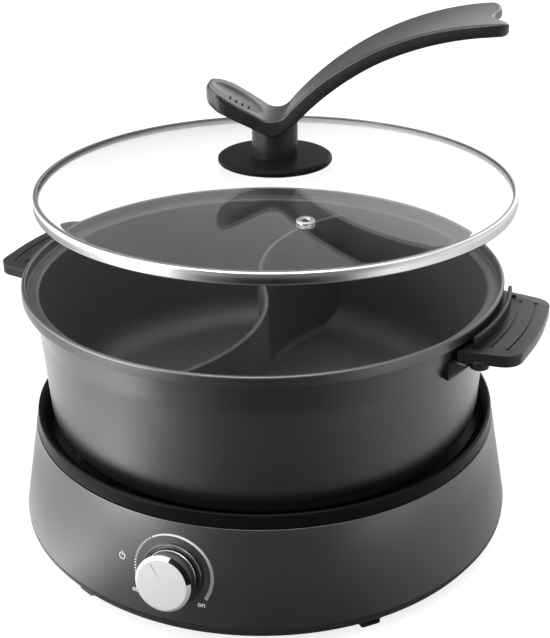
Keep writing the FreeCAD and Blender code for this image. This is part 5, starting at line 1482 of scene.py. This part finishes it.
def light_round(finish, x, y, levels):
    """A light level by the way round the object, from a table of levels."""
    turn = sizes("stage").azimuth
    across = x * math.cos(turn) + y * math.sin(turn)
    near = x * math.sin(turn) - y * math.cos(turn)
    way = across.sum("ARCTAN2", across, near)
    stops = [((degrees + 180) / 360, level / BRIGHTEST) for degrees, level in levels]
    return finish.node("ShaderNodeValToRGB", {"stops": stops}, way / TURN + 0.5) * BRIGHTEST


def ray_kinds(finish):
    """The Light Path's answers: seen straight or through glass, and seen in a reflection."""
    rays = finish.node("ShaderNodeLightPath", {}).socket.node.outputs
    camera_ray, through_ray, mirrors = [Wire(finish, rays[key]) for key in (
        "Is Camera Ray", "Is Transmission Ray", "Glossy Depth")]
    return camera_ray.sum("MAXIMUM", camera_ray, through_ray), mirrors > 0.5


def floor_and_world():
    clear_selection()
    bpy.ops.mesh.primitive_grid_add(x_subdivisions=8, y_subdivisions=8, size=9,
                                    location=(0, 0, -0.0002))
    floor = bpy.context.object
    floor.name = floor.data.name = "studio_floor"
    finish = Finish("white_floor")
    seen, mirrored = ray_kinds(finish)
    x, y, z = finish.parts(finish.place())
    reach = (x * x + y * y).root()
    near, ring, far = [reach.clamped(*edge) for edge in FLOOR_EDGES]
    panels = (light_round(finish, x, y, CLOSE_LEVELS) * (1 - near)
              + light_round(finish, x, y, NEAR_LEVELS) * (near - ring)
              + light_round(finish, x, y, RING_LEVELS) * (ring - far)
              + light_round(finish, x, y, FAR_LEVELS) * far)
    paper = finish.node("ShaderNodeBsdfDiffuse", {}, (0.35, 0.35, 0.35, 1))
    glow = finish.node("ShaderNodeEmission", {}, (1, 1, 1, 1), seen * FLOOR_GLOW)
    lit = finish.node("ShaderNodeAddShader", {}, paper, glow)
    card = finish.node("ShaderNodeEmission", {}, (1, 1, 1, 1), panels)
    floor.data.materials.append(finish.close(
        finish.node("ShaderNodeMixShader", {}, mirrored, lit, card)))
    world = bpy.data.worlds.new("studio")
    bpy.context.scene.world = world
    world.use_nodes = True
    sky = Finish("studio", world.node_tree)
    seen, _ = ray_kinds(sky)
    x, y, z = sky.parts(sky.node("ShaderNodeTexCoord", {}, output=0))
    high = z.clamped(0.5, 0.8)
    cap = z.clamped(0.72, 0.8)
    room = light_round(sky, x, y, SKY_LEVELS) * (1 - high) + high * CEILING + cap * ZENITH
    glow = sky.node("ShaderNodeBackground", {}, (1, 1, 1, 1), seen + (1 - seen) * room)
    out = sky.tree.nodes.new("ShaderNodeOutputWorld")
    sky.tree.links.new(glow.socket, out.inputs["Surface"])


def lamps():
    """A wide soft panel overhead and a narrow strip high in front."""
    for name, shape, wide, tall, power, spot in LAMPS:
        data = bpy.data.lights.new(name, "AREA")
        data.shape = shape
        data.size, data.size_y, data.energy = wide, tall, power
        lamp = bpy.data.objects.new(name, data)
        bpy.context.scene.collection.objects.link(lamp)
        lamp.location = spot
        if shape == "RECTANGLE":
            aim = Vector((0, 0, 0.2)) - lamp.location
            lamp.rotation_euler = aim.to_track_quat("-Z", "Y").to_euler()


def camera():
    stage = sizes("stage")
    turn, rise = stage.azimuth, stage.elevation
    back = Vector((math.sin(turn) * math.cos(rise), -math.cos(turn) * math.cos(rise),
                   math.sin(rise)))
    aim = Vector((math.cos(turn) * stage.aim_side, math.sin(turn) * stage.aim_side,
                  stage.aim_height))
    data = bpy.data.cameras.new("view")
    data.sensor_width = SENSOR
    data.lens = SENSOR * stage.focal_pixels / stage.frame_pixels
    data.clip_start, data.clip_end = 0.01, 50
    seen = bpy.data.objects.new("view", data)
    bpy.context.scene.collection.objects.link(seen)
    seen.rotation_mode = "QUATERNION"
    seen.location = aim + back * stage.distance
    level = (-back).to_track_quat("-Z", "Y")
    seen.rotation_quaternion = Matrix.Rotation(stage.roll, 3, back).to_quaternion() @ level
    bpy.context.scene.camera = seen
    bpy.context.scene.view_settings.view_transform = "Standard"


# --- add-on ------------------------------------------------------------------------------

OPERATORS = (HOTPOT_OT_skirt, HOTPOT_OT_feet, HOTPOT_OT_knob, HOTPOT_OT_scale, HOTPOT_OT_inlet,
             HOTPOT_OT_pot, HOTPOT_OT_divider, HOTPOT_OT_grips, HOTPOT_OT_glass, HOTPOT_OT_band,
             HOTPOT_OT_seat, HOTPOT_OT_handle, HOTPOT_OT_inner, HOTPOT_OT_stage)


class HOTPOT_PT_panel(bpy.types.Panel):
    """The hot pot's sizes, colours and pieces"""
    bl_idname = "HOTPOT_PT_panel"
    bl_label = "Hot pot"
    bl_space_type = "VIEW_3D"
    bl_region_type = "UI"
    bl_category = "Hot pot"

    def draw(self, context):
        for name, group in GROUPS.items():
            column = self.layout.column(align=True)
            column.label(text=group.__name__)
            for key in group.__annotations__:
                column.prop(getattr(context.scene, name), key)
        for operator in OPERATORS:
            self.layout.operator(operator.bl_idname)


CLASSES = tuple(GROUPS.values()) + OPERATORS + (HOTPOT_PT_panel,)


def register():
    for made in CLASSES:
        bpy.utils.register_class(made)
    for name, group in GROUPS.items():
        setattr(bpy.types.Scene, name, PointerProperty(type=group))


def unregister():
    for name in GROUPS:
        delattr(bpy.types.Scene, name)
    for made in reversed(CLASSES):
        bpy.utils.unregister_class(made)


def main():
    register()
    make_finishes()
    for operator in OPERATORS:
        family, name = operator.bl_idname.split(".")
        getattr(getattr(bpy.ops, family), name)()
    clear_selection()


if __name__ == "__main__":
    main()
